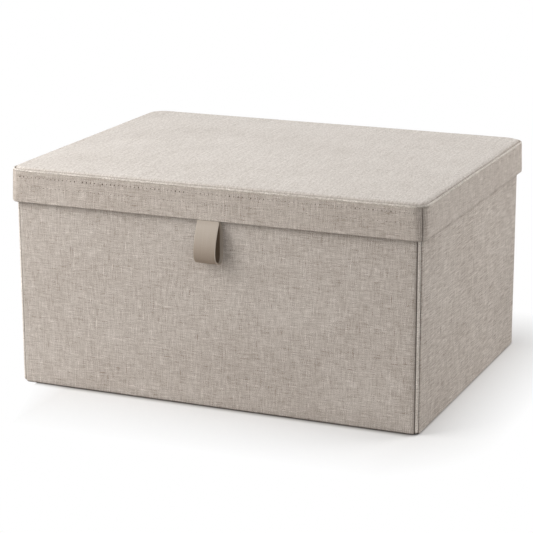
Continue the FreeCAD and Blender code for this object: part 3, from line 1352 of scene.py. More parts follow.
@dataclass
class BoxBody:
    """The sewn body: four outer panels, the base cloth, the corner welts and the lining."""

    finishes: Finishes
    half_width: float = 200.0
    half_depth: float = 150.0
    height: float = 202.0
    corner_radius: float = 7.0
    cloth: float = 0.8
    wall: float = 3.3
    hem_depth: float = 12.0
    edge_round: float = 1.4
    bottom_round: float = 2.0
    turn_under: float = 6.0
    base_gap: float = 0.4
    base_top: float = 3.8
    lining: float = 0.6
    bead_radius: float = 1.5
    bead_reach: float = 6.2
    bead_space: float = 1.9
    bead_foot: float = 0.8
    flange: float = 0.6
    column_pitch: float = 7.0
    soft_corner: float = 5.3
    corner_reach: float = 3.76
    corner_rise: float = 3.2
    foot_taper: float = 2.6
    least_foot: float = 0.45
    rise_fades: float = 12.0
    bend_from: float = 23.0
    lip_at: float = 30.0
    bead_from: float = -52.0
    bead_to: float = -124.0
    inner_to: float = 43.5
    end_round: float = 1.6
    end_steps: tuple[float, ...] = (0.0, 0.15, 0.5, 1.0)
    end_fill: float = 0.35
    pucker: float = 0.035

    def build(self) -> list[Object]:
        """Builds the body's pieces.

        Returns:
            Them all.
        """
        panels = [self.outer_panel(side) for side in Side] + [self.lining_panel(side) for side in Side]
        return panels + self.base_cloths() + self.welts()

    def corner_lines(self, across: float, reach: float) -> tuple[list[Point], list[Point], list[Point]]:
        """The outer, inner and under plan lines of the right-hand corner, point by point.

        Args:
            across: Half the side's length.
            reach: The side's distance from the middle.

        Returns:
            Three lines of as many points.
        """
        radius = self.corner_radius
        centre = (across - radius, radius - reach)
        bead = on_arc(centre, self.bead_reach, 45.0)
        lip = on_arc(centre, radius, self.lip_at)
        bend_start = on_arc(centre, radius, self.bend_from)
        bend_end = on_arc(bead, self.bead_space, self.bead_from)
        outer = round_run(centre, radius, 0.0, self.bend_from, 5)[:-1]
        outer += bezier(bend_start, lip, bend_end, 5)[:-1]
        outer += round_run(bead, self.bead_space, self.bead_from, self.bead_to, 5)
        inner, under = (
            round_run(centre, radius - inset, 0.0, self.inner_to, len(outer) - 1)
            for inset in (self.wall + self.cloth, self.turn_under)
        )
        return outer, inner, under

    def cover(self, side: Side) -> Cover:
        """The plan lines of one whole side.

        Args:
            side: The side.

        Returns:
            Its lines and insets.
        """
        across, reach = side.spans(self.half_width, self.half_depth)
        flat = across - self.corner_radius
        flat_x = fine_steps(-flat, flat, self.column_pitch)[1:-1]
        insets = (0.0, self.wall + self.cloth, self.turn_under)
        corners = zip(self.corner_lines(across, reach), insets)
        lines = [whole_line(corner, flat_x, inset - reach) for corner, inset in corners]
        return Cover(side, *lines, insets[1], insets[2])

    def profile(self) -> tuple[list[Point], int]:
        """The upright line of an outer panel: hem, top edge, wall, bottom edge and turn-under.

        Returns:
            Inset and level of each row, and the first row past the wall.
        """
        bend, low = self.edge_round, self.bottom_round
        hem = self.wall + self.cloth
        shoulder = self.height - bend
        line = [(hem, level) for level in fine_steps(self.height - self.hem_depth, shoulder, 2.5)]
        line += round_run((hem - bend, shoulder), bend, 90.0, 180.0, 4)[1:]
        line += round_run((bend, shoulder), bend, 180.0, 270.0, 4)[:-1]
        line += [(0.0, level) for level in fine_steps(shoulder, low, 7.0)]
        turn_row = len(line)
        line += round_run((low, low), low, 270.0, 360.0, 5)[1:]
        line += [(inset, 0.0) for inset in fine_steps(low, self.turn_under, 1.5)[1:]]
        return line, turn_row

    def rise(self, along: float, level: float) -> float:
        """How far the lower edge is drawn up, by the distance past the soft corner's start."""
        near = max(0.0, along) / self.corner_reach
        return self.corner_rise * near**1.2 * max(0.0, 1.0 - level / self.rise_fades) ** 2

    def outer_panel(self, side: Side) -> Object:
        """One outer cloth panel.

        Args:
            side: The side that it covers.

        Returns:
            The piece.
        """
        profile, turn_row = self.profile()
        cover = self.cover(side)
        across, reach = side.spans(self.half_width, self.half_depth)

        def drawn_up(point: Vector) -> Vector:
            """Draws the lower edge up at the corners, where no board stands behind it.

            Args:
                point: A point, placed as on the front.

            Returns:
                The same point, moved.
            """
            share = limited((self.soft_corner - reach - point.y - 1.0) / 2.0)
            point.z += share * self.rise(abs(point.x) - across + self.soft_corner, point.z)
            return point

        swell = Swell(self.bottom_round, self.height - self.bottom_round, 12.0, 0.16, 70.0, 4.0)
        mesh = cover.sweep(side.word + "_panel", profile, turn_row, self.cloth, swell, drawn_up)
        linen = self.finishes.wall_linen if side.is_long else self.finishes.side_linen
        piece = dress(mesh, linen, "wall_linen", "box", side.word + "_cloth")
        lay_sheet(piece, lengths(cover.outer)[-1], lengths(profile)[-1], side.word + "_board")
        return piece

    def lining_panel(self, side: Side) -> Object:
        """One lining panel, from the base board up to the hem.

        Args:
            side: The side that it lines.

        Returns:
            The piece.
        """
        across, reach = side.spans(self.half_width, self.half_depth)
        inset = self.wall + self.lining
        flat = across - self.corner_radius
        corner = round_run((flat, self.corner_radius - reach), self.corner_radius - inset, 0.0, 44.0, 6)
        line = whole_line(corner, fine_steps(-flat, flat, 20.0)[1:-1], inset - reach)
        widths = lengths(line)
        levels = fine_steps(self.height - self.hem_depth, self.base_top, 20.0)
        rows = [[turned(Vector((x, y, level)), side) for x, y in line] for level in levels]
        places = [[(width + 600.0 * side.value, level) for width in widths] for level in levels]
        mesh = thicken(grid_mesh(side.word + "_lining_panel", rows, places, Facing.INWARD), self.lining)
        piece = dress(mesh, self.finishes.lining, "lining_cloth", "box", side.word + "_lining")
        lay_sheet(piece, widths[-1], levels[0] - levels[-1], side.word + "_board")
        return piece

    def base_cloths(self) -> list[Object]:
        """The cloth under the base board and the lining that lies on it.

        Returns:
            The two pieces.
        """
        outer = (self.turn_under + self.base_gap, 0.0, self.cloth, self.finishes.wall_linen)
        inner = (self.wall + self.lining, self.base_top, self.lining, self.finishes.lining)
        made = []
        for name, node, slot, way, (inset, low, thickness, material) in (
            ("underside_cloth", "base_cloth", "wall_linen", "stretched", outer),
            ("floor_lining", "base_lining", "lining_cloth", "laid", inner),
        ):
            half = (self.half_width - inset, self.half_depth - inset)
            mesh = plate(name, half, max(1.0, self.corner_radius - inset), low + thickness, thickness)
            piece = dress(mesh, material, slot, "box", node)
            lay_sheet(piece, 2 * half[0], 2 * half[1], "base_board", held=way)
            made.append(piece)
        return made

    def welts(self) -> list[Object]:
        """The beads sewn into the four corner seams.

        Returns:
            The four pieces.
        """
        half_flange = self.flange / 2
        opening = math.degrees(math.asin(half_flange / self.bead_radius))
        section = round_run((0.0, 0.0), self.bead_radius, -90.0 + opening, 270.0 - opening, 22)
        root = -self.bead_space - self.cloth
        section += [(root, half_flange), (root, -half_flange)]
        around = lengths(section + section[:1])
        low, high, soft = self.bead_foot, self.height - self.bead_foot, self.end_round
        levels = [low + step for step in self.end_steps] + fine_steps(low + soft, high - soft, 1.4)
        levels += [high - step for step in reversed(self.end_steps)]
        step = self.bead_reach * math.sqrt(0.5) - self.corner_radius
        made = []
        for corner, sign_x, sign_y in (
            ("front_left", -1, -1),
            ("front_right", 1, -1),
            ("back_left", -1, 1),
            ("back_right", 1, 1),
        ):
            place = Vector((sign_x * (self.half_width + step), sign_y * (self.half_depth + step), 0.0))
            turn = Matrix.Rotation(math.atan2(sign_y, sign_x), 3, "Z")
            rows, places = [], []
            for level in reversed(levels):
                near = min(level - low, high - level, soft) / soft
                fill = self.end_fill + (1.0 - self.end_fill) * math.sqrt(1.0 - (1.0 - near) ** 2)
                drawn = max(0.0, 1.0 - (level - low) / self.foot_taper)
                foot = 1.0 - (1.0 - self.least_foot) * drawn**2
                wave = math.sin(level * 2.2 + sign_x) * noise.noise(Vector((level / 9.0, sign_x, sign_y)))
                row = []
                for x, y in section:
                    size = fill * (1.0 + self.pucker * wave) if x > root * 0.8 else fill
                    reach = root + (x * size - root) * foot
                    row.append(place + turn @ Vector((reach, y * size * foot, level)))
                rows.append(row)
                places.append([(run, level) for run in around[:-1]])
            mesh = grid_mesh("corner_bead_" + corner, rows, places, closed=True)
            close_ends(mesh, len(section))
            made.append(dress(mesh, self.finishes.bead_linen, "trim_linen", "box", "corner_welt_" + corner))
        return made


@dataclass
class LidRim:
    """The lid's sewn rim: four cloth strips, the lining band and the lid's lining."""

    finishes: Finishes
    half_width: float = 204.4
    half_depth: float = 154.4
    corner_radius: float = 9.5
    low: float = 178.0
    top: float = 207.4
    cloth: float = 0.8
    rim: float = 3.0
    bottom_round: float = 1.5
    hem_height: float = 10.0
    lining: float = 0.6
    lining_low: float = 202.3
    slit_half_width: float = 11.4
    drawn_from: float = 182.0
    drawn_more: float = 3.0
    column_pitch: float = 7.0
    bend_from: float = 39.0
    seam_at: float = 44.3
    seam_depth: float = 1.3
    face_depth: float = 1.5
    face_pull: float = 0.75
    inner_to: float = 44.0

    def build(self) -> list[Object]:
        """Builds the rim's pieces."""
        return [self.strip(side) for side in Side] + [self.lining_band(), self.lid_lining()]

    def strip(self, side: Side) -> Object:
        """One rim strip, from the piping down, round the lower edge and up inside.

        Args:
            side: The side that it covers.

        Returns:
            The piece.
        """
        across, reach = side.spans(self.half_width, self.half_depth)
        radius, inner_inset = self.corner_radius, self.rim + self.cloth
        edge, flat = self.slit_half_width, across - radius
        centre = (flat, radius - reach)
        sewn = on_arc(centre, radius - self.seam_depth, self.seam_at)
        outer = round_run(centre, radius, 0.0, self.bend_from, 8)[:-1]
        outer += bezier(on_arc(centre, radius, self.bend_from), on_arc(centre, radius, self.seam_at), sewn, 6)
        inner = round_run(centre, radius - inner_inset, 0.0, self.inner_to, len(outer) - 1)
        flat_x = fine_steps(-flat, -edge, self.column_pitch)[1:]
        flat_x += fine_steps(-edge, edge, 3.0)[1:] + fine_steps(edge, flat, self.column_pitch)[1:-1]
        outer, inner = whole_line(outer, flat_x, -reach), whole_line(inner, flat_x, inner_inset - reach)
        cover = Cover(side, outer, inner, inner, inner_inset, inner_inset)
        bend, shoulder = self.bottom_round, self.low + self.bottom_round
        profile = [(0.75, self.top + 0.3), (0.25, self.top + 0.1)]
        profile += [(0.0, level) for level in fine_steps(self.top - 0.2, shoulder, 2.4)]
        profile += round_run((bend, shoulder), bend, 270.0, 360.0, 5)[1:]
        profile += round_run((inner_inset - bend, shoulder), bend, 0.0, 90.0, 5)
        hem = fine_steps(shoulder, self.low + self.hem_height, 2.5)[1:]
        profile += [(inner_inset, level) for level in hem]

        def in_slit(middle: Vector) -> bool:
            """Finds the slit under the front rim, through which the strap hangs.

            Args:
                middle: A quad's middle, placed as on the front.

            Returns:
                True in the slit.
            """
            depth = middle.y + reach
            inside = bend - 0.1 < depth < inner_inset - bend + 0.1
            return inside and abs(middle.x) < edge and middle.z < shoulder

        def drawn_in(point: Vector) -> Vector:
            """Rounds the corner further towards the top, as the piping draws it in.

            Args:
                point: A point, placed as on the front.

            Returns:
                The moved point.
            """
            share = limited((point.z - self.drawn_from) / (self.top - self.drawn_from))
            wide = radius + self.drawn_more * share
            near = Vector((abs(point.x) - across + radius, reach - radius + point.y))
            over = Vector((abs(point.x) - across + wide, reach - wide + point.y))
            if over.x <= 0.0 or over.y >= 0.0:
                return point
            depth = radius - (near.length if near.x > 0.0 else -near.y)
            if depth < self.face_depth:
                depth *= 1.0 - self.face_pull * share**3
            over *= (wide - depth) / over.length
            return Vector((math.copysign(across - wide + over.x, point.x), wide - reach + over.y, point.z))

        name = "rim_" + side.word
        skip = in_slit if side is Side.FRONT else None
        swell = Swell(shoulder, self.top, 6.0, 0.14, 45.0, 11.0)
        mesh = cover.sweep(name + "_strip", profile, 0, self.cloth, swell, drawn_in, skip)
        piece = dress(mesh, self.finishes.rim_linen, "wall_linen", "lid", name + "_cloth")
        lay_sheet(piece, lengths(cover.outer)[-1], lengths(profile)[-1], name + "_board")
        return piece

    def lining_band(self) -> Object:
        """The lining band inside the rim, over the strips' turned-up edges.

        Returns:
            The piece.
        """
        inset = self.rim + self.lining
        outline = rounded_outline(
            self.half_width - inset, self.half_depth - inset, self.corner_radius - inset, 20.0
        )
        widths = lengths(outline)
        levels = fine_steps(self.lining_low, self.low + self.hem_height, 3.0)
        rows = [[Vector((x, y, level)) for x, y in outline] for level in levels]
        places = [[(width, level) for width in widths] for level in levels]
        mesh = grid_mesh("rim_lining_band", rows, places, Facing.INWARD, closed=True)
        piece = dress(thicken(mesh, self.lining), self.finishes.lining, "lining_cloth", "lid", "rim_lining")
        boards = ["rim_" + word + "_board" for word in ("front", "back", "left", "right")]
        lay_sheet(piece, lengths(outline + outline[:1])[-1], levels[0] - levels[-1], *boards)
        return piece

    def lid_lining(self) -> Object:
        """The lining under the lid board, whose face looks down.

        Returns:
            The piece.
        """
        half = (self.half_width - self.rim, self.half_depth - self.rim)
        radius = self.corner_radius - self.rim
        mesh = plate("lid_lining_cloth", half, radius, self.lining_low, self.lining, Facing.INWARD)
        piece = dress(mesh, self.finishes.lining, "lining_cloth", "lid", "lid_lining")
        lay_sheet(piece, 2 * half[0], 2 * half[1], "lid_top_board")
        return piece


@dataclass
class PaddedTop:
    """The lid's crowned top: a foam pad and the linen drawn over it."""

    finishes: Finishes
    half_width: float = 202.35
    half_depth: float = 152.35
    corner_radius: float = 11.45
    low: float = 205.9
    top: float = 213.8
    crown: float = 2.0
    shoulder: float = 3.5
    cloth: float = 0.8
    pressure: float = 4.0
    most_swell: float = 0.5
    waves: tuple[tuple[float, float, float], ...] = ((60.0, 2.0, 0.22), (22.0, 7.0, 0.07))
    frames: int = 20

    def build(self) -> list[Object]:
        """Builds the pad and its cloth."""
        return [self.top_cloth(), self.pad()]

    def rings(
        self, half_depth: float, shoulder: float, top: float, fine: bool
    ) -> tuple[list[float], list[float]]:
        """Distances from the edge and levels of the crowned form.

        Args:
            half_depth: Half the form's depth.
            shoulder: The radius of its soft edge.
            top: Its highest level.
            fine: True for a close grid.

        Returns:
            The insets and their levels.
        """
        eave = top - self.crown
        base = eave - shoulder
        turns = steps(0.0, math.pi / 2, 7 if fine else 4)
        insets = [0.0] + [shoulder * (1 - math.cos(a)) for a in turns]
        levels = [self.low] + [base + shoulder * math.sin(a) for a in turns]
        run = half_depth - shoulder
        for share in [0.008, 0.02, 0.036, 0.056, 0.08, 0.11] + steps(0.145, 1.0, 26 if fine else 12):
            insets.append(shoulder + run * share)
            levels.append(eave + self.crown * (1.0 - (1.0 - share) ** 2.4))
        insets[1] = 0.001
        return insets, levels

    def top_cloth(self) -> Object:
        """The linen drawn over the pad.

        Returns:
            The piece.
        """
        insets, levels = self.rings(self.half_depth, self.shoulder, self.top - 0.3, True)
        points, quads = drawn_in_grid(self.half_width, self.half_depth, self.corner_radius, insets, levels)
        mesh = plate_mesh("top_linen_cloth", points, quads)
        self.blow_up(mesh)
        eave = (self.top - self.crown) * MM
        for vertex in mesh.vertices:
            fade = limited((vertex.co.z - eave + 1.0 * MM) / (1.2 * MM))
            swell = sum(ripple(vertex.co / MM, length, seed) * depth for length, seed, depth in self.waves)
            vertex.co.z += fade * swell * MM
        mesh = thicken(mesh, self.cloth)
        piece = dress(mesh, self.finishes.top_linen, "top_linen", "lid", "lid_top_cloth")
        side = self.top - self.crown - self.shoulder - self.low
        drop = side + self.shoulder * (math.pi / 2 - 1.0)
        lay_sheet(piece, 2 * (self.half_width + drop), 2 * (self.half_depth + drop), "foam_pad")
        return piece

    def blow_up(self, mesh: Mesh) -> None:
        """Lets the cloth swell over its pad by simulation, no further than the pad would push it.

        Args:
            mesh: The single layer of cloth, whose points are moved.
        """
        scene = bpy.context.scene
        carrier = link_object("carrier", mesh)
        edge = carrier.vertex_groups.new(name="sewn")
        eave = (self.top - self.crown - 0.5) * MM
        edge.add([v.index for v in mesh.vertices if v.co.z < eave], 1.0, "REPLACE")
        cloth = carrier.modifiers.new("cloth", "CLOTH")
        for name, value in (
            ("quality", 4),
            ("mass", 0.2),
            ("tension_stiffness", 25.0),
            ("compression_stiffness", 25.0),
            ("bending_stiffness", 2.0),
            ("vertex_group_mass", edge.name),
            ("use_pressure", True),
            ("uniform_pressure_force", self.pressure),
        ):
            setattr(cloth.settings, name, value)
        cloth.settings.effector_weights.gravity = 0.0
        cloth.point_cache.frame_end = self.frames
        for moment in range(1, self.frames + 1):
            scene.frame_set(moment)
        shaped = carrier.evaluated_get(bpy.context.evaluated_depsgraph_get())
        moves = [after.co - before.co for after, before in zip(shaped.data.vertices, mesh.vertices)]
        carrier.modifiers.clear()
        scene.frame_set(1)
        largest = max((move.length for move in moves), default=0.0)
        most = self.most_swell * MM
        share = most / largest if largest > most else 1.0
        for vertex, move in zip(mesh.vertices, moves):
            vertex.co += move * share
        log.info("top cloth swelled by up to %.2f mm, kept to %.2f mm", largest / MM, min(largest, most) / MM)
        bpy.data.objects.remove(carrier)

    def pad(self) -> Object:
        """The foam pad under the linen.

        Returns:
            The piece.
        """
        inset = self.cloth + 0.35
        half_x, half_y = self.half_width - inset, self.half_depth - inset
        insets, levels = self.rings(half_y, self.shoulder - self.cloth, self.top - self.cloth - 0.75, False)
        points, quads = drawn_in_grid(half_x, half_y, self.corner_radius - inset, insets, levels)
        mesh = plate_mesh("foam_pad", points, quads)
        with edited(mesh) as work:
            bmesh.ops.contextual_create(work, geom=[edge for edge in work.edges if edge.is_boundary])
            bmesh.ops.recalc_face_normals(work, faces=work.faces)
        piece = dress(mesh, self.finishes.foam, "foam_pad", "lid", "lid_pad")
        return piece


@dataclass
class Piping:
    """The covered cord round the lid's top edge."""

    finishes: Finishes
    half_width: float = 203.5
    half_depth: float = 153.5
    bend: float = 12.6
    radius: float = 1.0
    level: float = 208.5
    around: int = 14
    uneven: float = 0.1
    waver: float = 0.15

    def build(self) -> Object:
        """Builds the cord.

        Returns:
            The piece.
        """
        outline = rounded_outline(self.half_width, self.half_depth, self.bend, 3.2, 12)
        count = len(outline)
        rows: list[list[Vector]] = [[] for _ in range(self.around + 1)]
        places: list[list[Point]] = [[] for _ in range(self.around + 1)]
        runs = lengths(outline)
        for index, (x, y) in enumerate(outline):
            before, after = Vector(outline[index - 1]), Vector(outline[(index + 1) % count])
            ahead = (after - before).normalized()
            outwards = Vector((ahead.y, -ahead.x, 0.0))
            size = self.radius * (1.0 + self.uneven * noise.noise(Vector((x / 4.0, y / 4.0, 1.0))))
            lift = self.waver * noise.noise(Vector((x / 30.0, y / 30.0, 6.0)))
            for turn in range(self.around + 1):
                angle = math.pi / 2 - 2 * math.pi * turn / self.around
                arm = outwards * (size * math.cos(angle)) + Vector((0.0, 0.0, size * math.sin(angle)))
                rows[turn].append(Vector((x, y, self.level + lift)) + arm)
                bias = (runs[index] + 2 * math.pi * self.radius * turn / self.around) * math.sqrt(0.5)
                places[turn].append((bias, runs[index] - bias))
        mesh = grid_mesh("piping_cord", rows, places, closed=True)
        with edited(mesh) as work:
            bmesh.ops.remove_doubles(work, verts=work.verts, dist=0.001 * MM)
            bmesh.ops.recalc_face_normals(work, faces=work.faces)
        return dress(mesh, self.finishes.piping_linen, "trim_linen", "lid", "lid_piping")


@dataclass
class StitchRow:
    """A row of stitches that follows a closed line, laid by Geometry Nodes."""

    name: str
    material: Material
    line: list[Vector]
    pitch: float
    size: tuple[float, float, float]
    start: float
    seed: int
    longest_line: float = 100.0
    least_share: tuple[float, float, float] = (0.4, 0.85, 0.4)
    greatest_share: tuple[float, float, float] = (1.2, 1.1, 1.15)

    def tree(self) -> NodeTree:
        """Builds the node tree that lays one rounded stitch at every pitch.

        Returns:
            The tree, with inputs Pitch, Size, Start and Seed.
        """
        tree = bpy.data.node_groups.new(self.name, "GeometryNodeTree")
        face = tree.interface
        face.new_socket("Geometry", in_out="INPUT", socket_type="NodeSocketGeometry")
        for word, kind in (("Pitch", "Float"), ("Size", "Vector"), ("Start", "Float"), ("Seed", "Int")):
            face.new_socket(word, in_out="INPUT", socket_type="NodeSocket" + kind)
        face.new_socket("Geometry", in_out="OUTPUT", socket_type="NodeSocketGeometry")
        graph = Graph(tree)
        line = graph.node("NodeGroupInput", output="Geometry")
        pitch, size, start, seed = (line.beside(word) for word in ("Pitch", "Size", "Start", "Seed"))
        curve = graph.node("GeometryNodeMeshToCurve", inputs={0: line})
        by_length = {"mode": "LENGTH"}
        ends = {"Curve": curve, 4: start * pitch, 5: self.longest_line}
        trimmed = graph.node("GeometryNodeTrimCurve", by_length, ends)
        points = graph.node("GeometryNodeCurveToPoints", by_length, {"Curve": trimmed, "Length": pitch})
        ball = graph.node("GeometryNodeMeshIcoSphere", inputs={"Radius": 0.5, "Subdivisions": 1})
        shake = graph.node(
            "FunctionNodeRandomValue",
            {"data_type": "FLOAT_VECTOR"},
            {0: self.least_share, 1: self.greatest_share, "Seed": seed},
        )
        scale = graph.node("ShaderNodeVectorMath", {"operation": "MULTIPLY"}, {0: size, 1: shake})
        turn = graph.node(
            "FunctionNodeAlignRotationToVector", {"axis": "X"}, {"Vector": points.beside("Tangent")}
        )
        laid = graph.node(
            "GeometryNodeInstanceOnPoints",
            inputs={"Points": points, "Instance": ball, "Rotation": turn, "Scale": scale},
        )
        real = graph.node("GeometryNodeRealizeInstances", inputs={0: laid})
        dressed = graph.node("GeometryNodeSetMaterial", inputs={"Geometry": real, "Material": self.material})
        graph.node("NodeGroupOutput", inputs={0: dressed})
        return tree

    def build(self) -> Object:
        """Lays the stitches.

        Returns:
            The piece, a plain mesh.
        """
        mesh = bpy.data.meshes.new(self.name)
        edges = [(index, index + 1) for index in range(len(self.line) - 1)]
        mesh.from_pydata([point * MM for point in self.line], edges, [])
        carrier = link_object("carrier", mesh)
        modifier = carrier.modifiers.new("stitches", "NODES")
        modifier.node_group = self.tree()
        values = {
            "Pitch": self.pitch * MM,
            "Size": tuple(value * MM for value in self.size),
            "Start": self.start,
            "Seed": self.seed,
        }
        for item in modifier.node_group.interface.items_tree:
            if item.in_out == "INPUT" and item.name in values:
                modifier[item.identifier] = values[item.name]
        return add_object(self.name, settled(carrier), self.material)


@dataclass
class RimStitching:
    """The sewn rows on the front and the back of the rim: one below the piping, one at the hem."""

    finishes: Finishes
    half_length: float = 194.0
    reach: float = 154.4
    upper_level: float = 202.9
    lower_level: float = 193.8
    pitch: float = 4.1
    stitch: tuple[float, float, float] = (1.9, 0.45, 0.7)
    hole: tuple[float, float, float] = (1.2, 0.4, 1.7)
    small_hole: tuple[float, float, float] = (1.7, 0.32, 0.5)

    def line(self, level: float, side: Side) -> list[Vector]:
        """The line of a row.

        Args:
            level: The row's level.
            side: The side on which it runs.

        Returns:
            Its points in millimetres.
        """
        points = []
        for x in fine_steps(-self.half_length, self.half_length, 4.0):
            point = turned(Vector((x, -self.reach, level)), side)
            point.z += 0.3 * noise.noise(point / 25.0)
            points.append(point)
        return points

    def build(self) -> list[Object]:
        """Builds the stitches and the needle holes between them.

        Returns:
            The pieces.
        """
        made = []
        for side in (Side.FRONT, Side.BACK):
            upper, lower = self.line(self.upper_level, side), self.line(self.lower_level, side)
            # the needle holes are dark dots of painted shade
            for word, material, line, size, start in (
                ("upper_stitches_", self.finishes.thread, upper, self.stitch, 0.0),
                ("upper_needle_holes_", self.finishes.needle_hole, upper, self.hole, 0.5),
                ("lower_needle_holes_", self.finishes.needle_hole, lower, self.small_hole, 0.5),
            ):
                row = StitchRow(word + side.word, material, line, self.pitch, size, start, len(made))
                piece = row.build()
                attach(piece, "lid")
                made.append(piece)
        return made


@dataclass
class PullStrap:
    """The folded strap: both ends sewn into the front rim, the loop hanging in front of the wall."""

    finishes: Finishes
    width: float = 22.0
    thickness: float = 1.1
    edge_round: float = 0.28
    pitch: float = 1.2
    misfit: float = 1.7
    fold_place: float = 52.0
    fold_turn: float = 8.0
    slit_level: float = 178.0
    route: tuple[Point, ...] = (
        *((-153.05, 191.8), (-153.05, 184.0), (-153.05, 179.5), (-154.4, 175.2), (-157.4, 170.0)),
        *((-160.4, 162.8), (-162.6, 155.5), (-163.2, 149.0), (-161.8, 143.6), (-158.4, 140.4)),
        *((-155.2, 139.9), (-152.6, 141.9), (-151.1, 146.6), (-150.95, 153.0), (-150.95, 160.0)),
        *((-150.95, 168.0), (-151.3, 174.8), (-151.95, 179.5), (-151.95, 184.0), (-151.95, 191.8)),
    )

    def centre_line(self) -> list[Point]:
        """The strap's middle line from the side, smoothed through its route.

        Returns:
            Depth and level of its points.
        """

        def between(a: float, b: float, c: float, d: float, share: float) -> float:
            """A smooth curve's value between b and c, which lie between a and d."""
            bends = (2 * b, (c - a) * share, (2 * a - 5 * b + 4 * c - d) * share**2)
            return 0.5 * (sum(bends) + (3 * b - a - 3 * c + d) * share**3)

        line: list[Point] = []
        points = [self.route[0], *self.route, self.route[-1]]
        for spot in zip(points, points[1:], points[2:], points[3:]):
            count = max(2, round(math.dist(spot[1], spot[2]) / self.pitch))
            for share in steps(0.0, 1.0, count)[:-1]:
                line.append(tuple(between(*values, share) for values in zip(*spot)))
        return line + [self.route[-1]]

    def section(self) -> list[Point]:
        """The strap's cross-section: width, and height over its middle line, with rounded edges.

        Returns:
            A closed line of points, the grain side first.
        """
        half, high, soft = self.width / 2, self.thickness / 2, self.edge_round
        grain = [(x, high) for x in fine_steps(soft - half, half - soft, 2.0)]
        half_line = grain + round_run((half - soft, high - soft), soft, 180.0, 90.0, 3)[1:]
        return half_line + [(-x, -y) for x, y in half_line]

    def build(self) -> Object:
        """Builds the strap.

        Returns:
            The piece.
        """
        line = self.centre_line()
        runs = lengths(line)
        section = self.section()
        rows, places = [], []
        for index, (y, z) in enumerate(line):
            before, after = line[max(0, index - 1)], line[min(len(line) - 1, index + 1)]
            ahead = Vector((0.0, after[0] - before[0], after[1] - before[1])).normalized()
            outwards = Vector((0.0, ahead.z, -ahead.y))
            past_fold = limited((runs[index] - self.fold_place) / self.fold_turn)
            below_slit = limited((self.slit_level - z) / self.fold_turn)
            centre = Vector((self.misfit * past_fold * below_slit, y, z))
            rows.append([centre + Vector((x, 0.0, 0.0)) + outwards * high for x, high in section])
            places.append([(x, runs[index]) for x, _ in section])
        mesh = grid_mesh("pull_strap", rows, places, closed=True)
        for loop in mesh.loops:
            place = mesh.uv_layers[WEAVE_MAP].data[loop.index]
            place.uv = (mesh.vertices[loop.vertex_index].co.x, place.uv[1])
        close_ends(mesh, len(section))
        mesh.materials.append(self.finishes.strap)
        mesh.materials.append(self.finishes.strap_back)
        grain_faces = len(section) // 2
        for index, face in enumerate(mesh.polygons):
            face.material_index = 0 if index % len(section) < grain_faces else 1
        piece = dress(mesh, self.finishes.strap, "strap_leather", None, "pull_loop", "loop_tail")
        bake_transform(piece)
        return piece


@dataclass
class Boards:
    """The boards inside: the CAD solids get their finish, and the lid's board rounder corners."""

    finishes: Finishes
    lid_half: Point = (203.5, 153.5)
    lid_corner: float = 13.0
    lid_top: float = 205.9
    lid_thickness: float = 3.0

    def build(self) -> list[Object]:
        """Dresses every board.

        Returns:
            The nodes' objects.
        """
        made = [self.lid_board()]
        for name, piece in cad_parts.items():
            if name.endswith("_board") and name != "lid_board":
                piece.data.materials.clear()
                piece.data.materials.append(self.finishes.board)
                made.append(piece)
        return made

    def lid_board(self) -> Object:
        """The lid's board, whose corners are as round as the cloth that is drawn over them.

        Returns:
            The piece.
        """
        mesh = plate("lid_top_board", self.lid_half, self.lid_corner, self.lid_top, self.lid_thickness)
        return dress(mesh, self.finishes.board, "grey_board", "lid", "lid_board")


@dataclass(frozen=True)
class Lamp:
    """A square studio lamp."""

    name: str
    place: tuple[float, float, float]
    aim: tuple[float, float, float]
    size: float
    power: float

    def build(self) -> None:
        """Hangs the lamp."""
        light = bpy.data.lights.new(self.name, "AREA")
        light.shape = "SQUARE"
        light.size = self.size
        light.energy = self.power
        holder = link_object(self.name, light)
        place = Vector(self.place)
        holder.location = place
        holder.rotation_euler = (Vector(self.aim) - place).to_track_quat("-Z", "Y").to_euler()


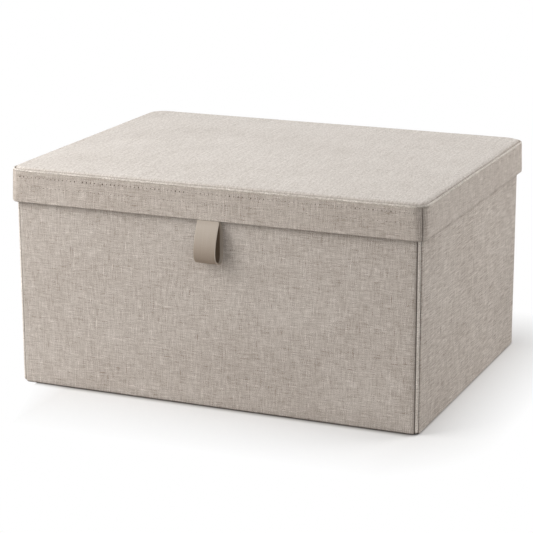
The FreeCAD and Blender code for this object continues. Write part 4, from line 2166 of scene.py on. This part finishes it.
@dataclass
class Studio:
    """The floor, the lights and the camera."""

    eye: Vector = field(default_factory=lambda: Vector((0.722031, -1.714466, 0.6051)))
    yaw: float = 23.0893
    pitch: float = 15.2778
    roll: float = -0.2244
    focal_pixels: float = 1975.0
    picture_width: float = 533.0
    sensor_width: float = 36.0
    floor_half: float = 12.0
    ambient: float = 0.14
    lamps: tuple[Lamp, ...] = (
        Lamp("key", (-0.9, -0.6, 0.82), (0.0, 0.0, 0.1), 1.1, 19.8),
        Lamp("side", (1.1, 0.95, 0.9), (0.1, 0.0, 0.1), 0.9, 17.0),
        Lamp("fill", (1.0, -1.1, 0.55), (0.1, 0.0, 0.1), 0.9, 1.8),
    )

    def build(self) -> None:
        """Builds all three."""
        self.floor()
        self.sky()
        for lamp in self.lamps:
            lamp.build()
        self.camera()

    def floor(self) -> None:
        """The level pale floor."""
        half = self.floor_half
        mesh = bpy.data.meshes.new("floor")
        corners = [(-half, -half, 0.0), (half, -half, 0.0), (half, half, 0.0), (-half, half, 0.0)]
        mesh.from_pydata(corners, [], [(0, 1, 2, 3)])
        mesh.materials.append(FloorFinish().material())
        link_object("floor", mesh)

    def sky(self) -> None:
        """An even pale world light that the camera sees as white."""
        world = bpy.data.worlds.new("studio")
        bpy.context.scene.world = world
        graph = Graph(world)
        seen = graph.seen_by("Is Camera Ray", "Is Glossy Ray")
        soft, white = (
            graph.node("ShaderNodeBackground", inputs={"Color": WHITE, "Strength": strength})
            for strength in (self.ambient, 1.0)
        )
        mix = graph.node("ShaderNodeMixShader", inputs={0: seen, 1: soft, 2: white})
        graph.end(mix, "ShaderNodeOutputWorld")

    def camera(self) -> None:
        """The camera at the photograph's angle."""
        yaw, pitch, roll = (math.radians(value) for value in (self.yaw, self.pitch, self.roll))
        right = Vector((math.cos(yaw), math.sin(yaw), 0.0))
        ahead = Vector((-math.sin(yaw) * math.cos(pitch), math.cos(yaw) * math.cos(pitch), -math.sin(pitch)))
        up = right.cross(ahead)
        right, up = (
            math.cos(roll) * right + math.sin(roll) * up,
            math.cos(roll) * up - math.sin(roll) * right,
        )
        data = bpy.data.cameras.new("camera")
        data.sensor_width = self.sensor_width
        data.lens = self.focal_pixels / self.picture_width * self.sensor_width
        holder = link_object("camera", data)
        turn = Matrix((right, up, -ahead)).transposed()
        holder.matrix_world = Matrix.Translation(self.eye) @ turn.to_4x4()
        bpy.context.scene.camera = holder


def main() -> None:
    """Builds the whole box in order."""
    logging.basicConfig(level=logging.INFO, format="%(message)s")
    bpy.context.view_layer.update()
    bpy.context.scene.view_settings.view_transform = "Standard"
    finishes = Finishes.make()
    for assembly in (
        BoxBody(finishes),
        LidRim(finishes),
        PaddedTop(finishes),
        Piping(finishes),
        RimStitching(finishes),
        PullStrap(finishes),
        Boards(finishes),
    ):
        made = assembly.build()
        for piece in made if isinstance(made, list) else [made]:
            log.info("%s: %d faces", piece.name, len(piece.data.polygons))
    Studio().build()


if __name__ == "__main__":
    main()
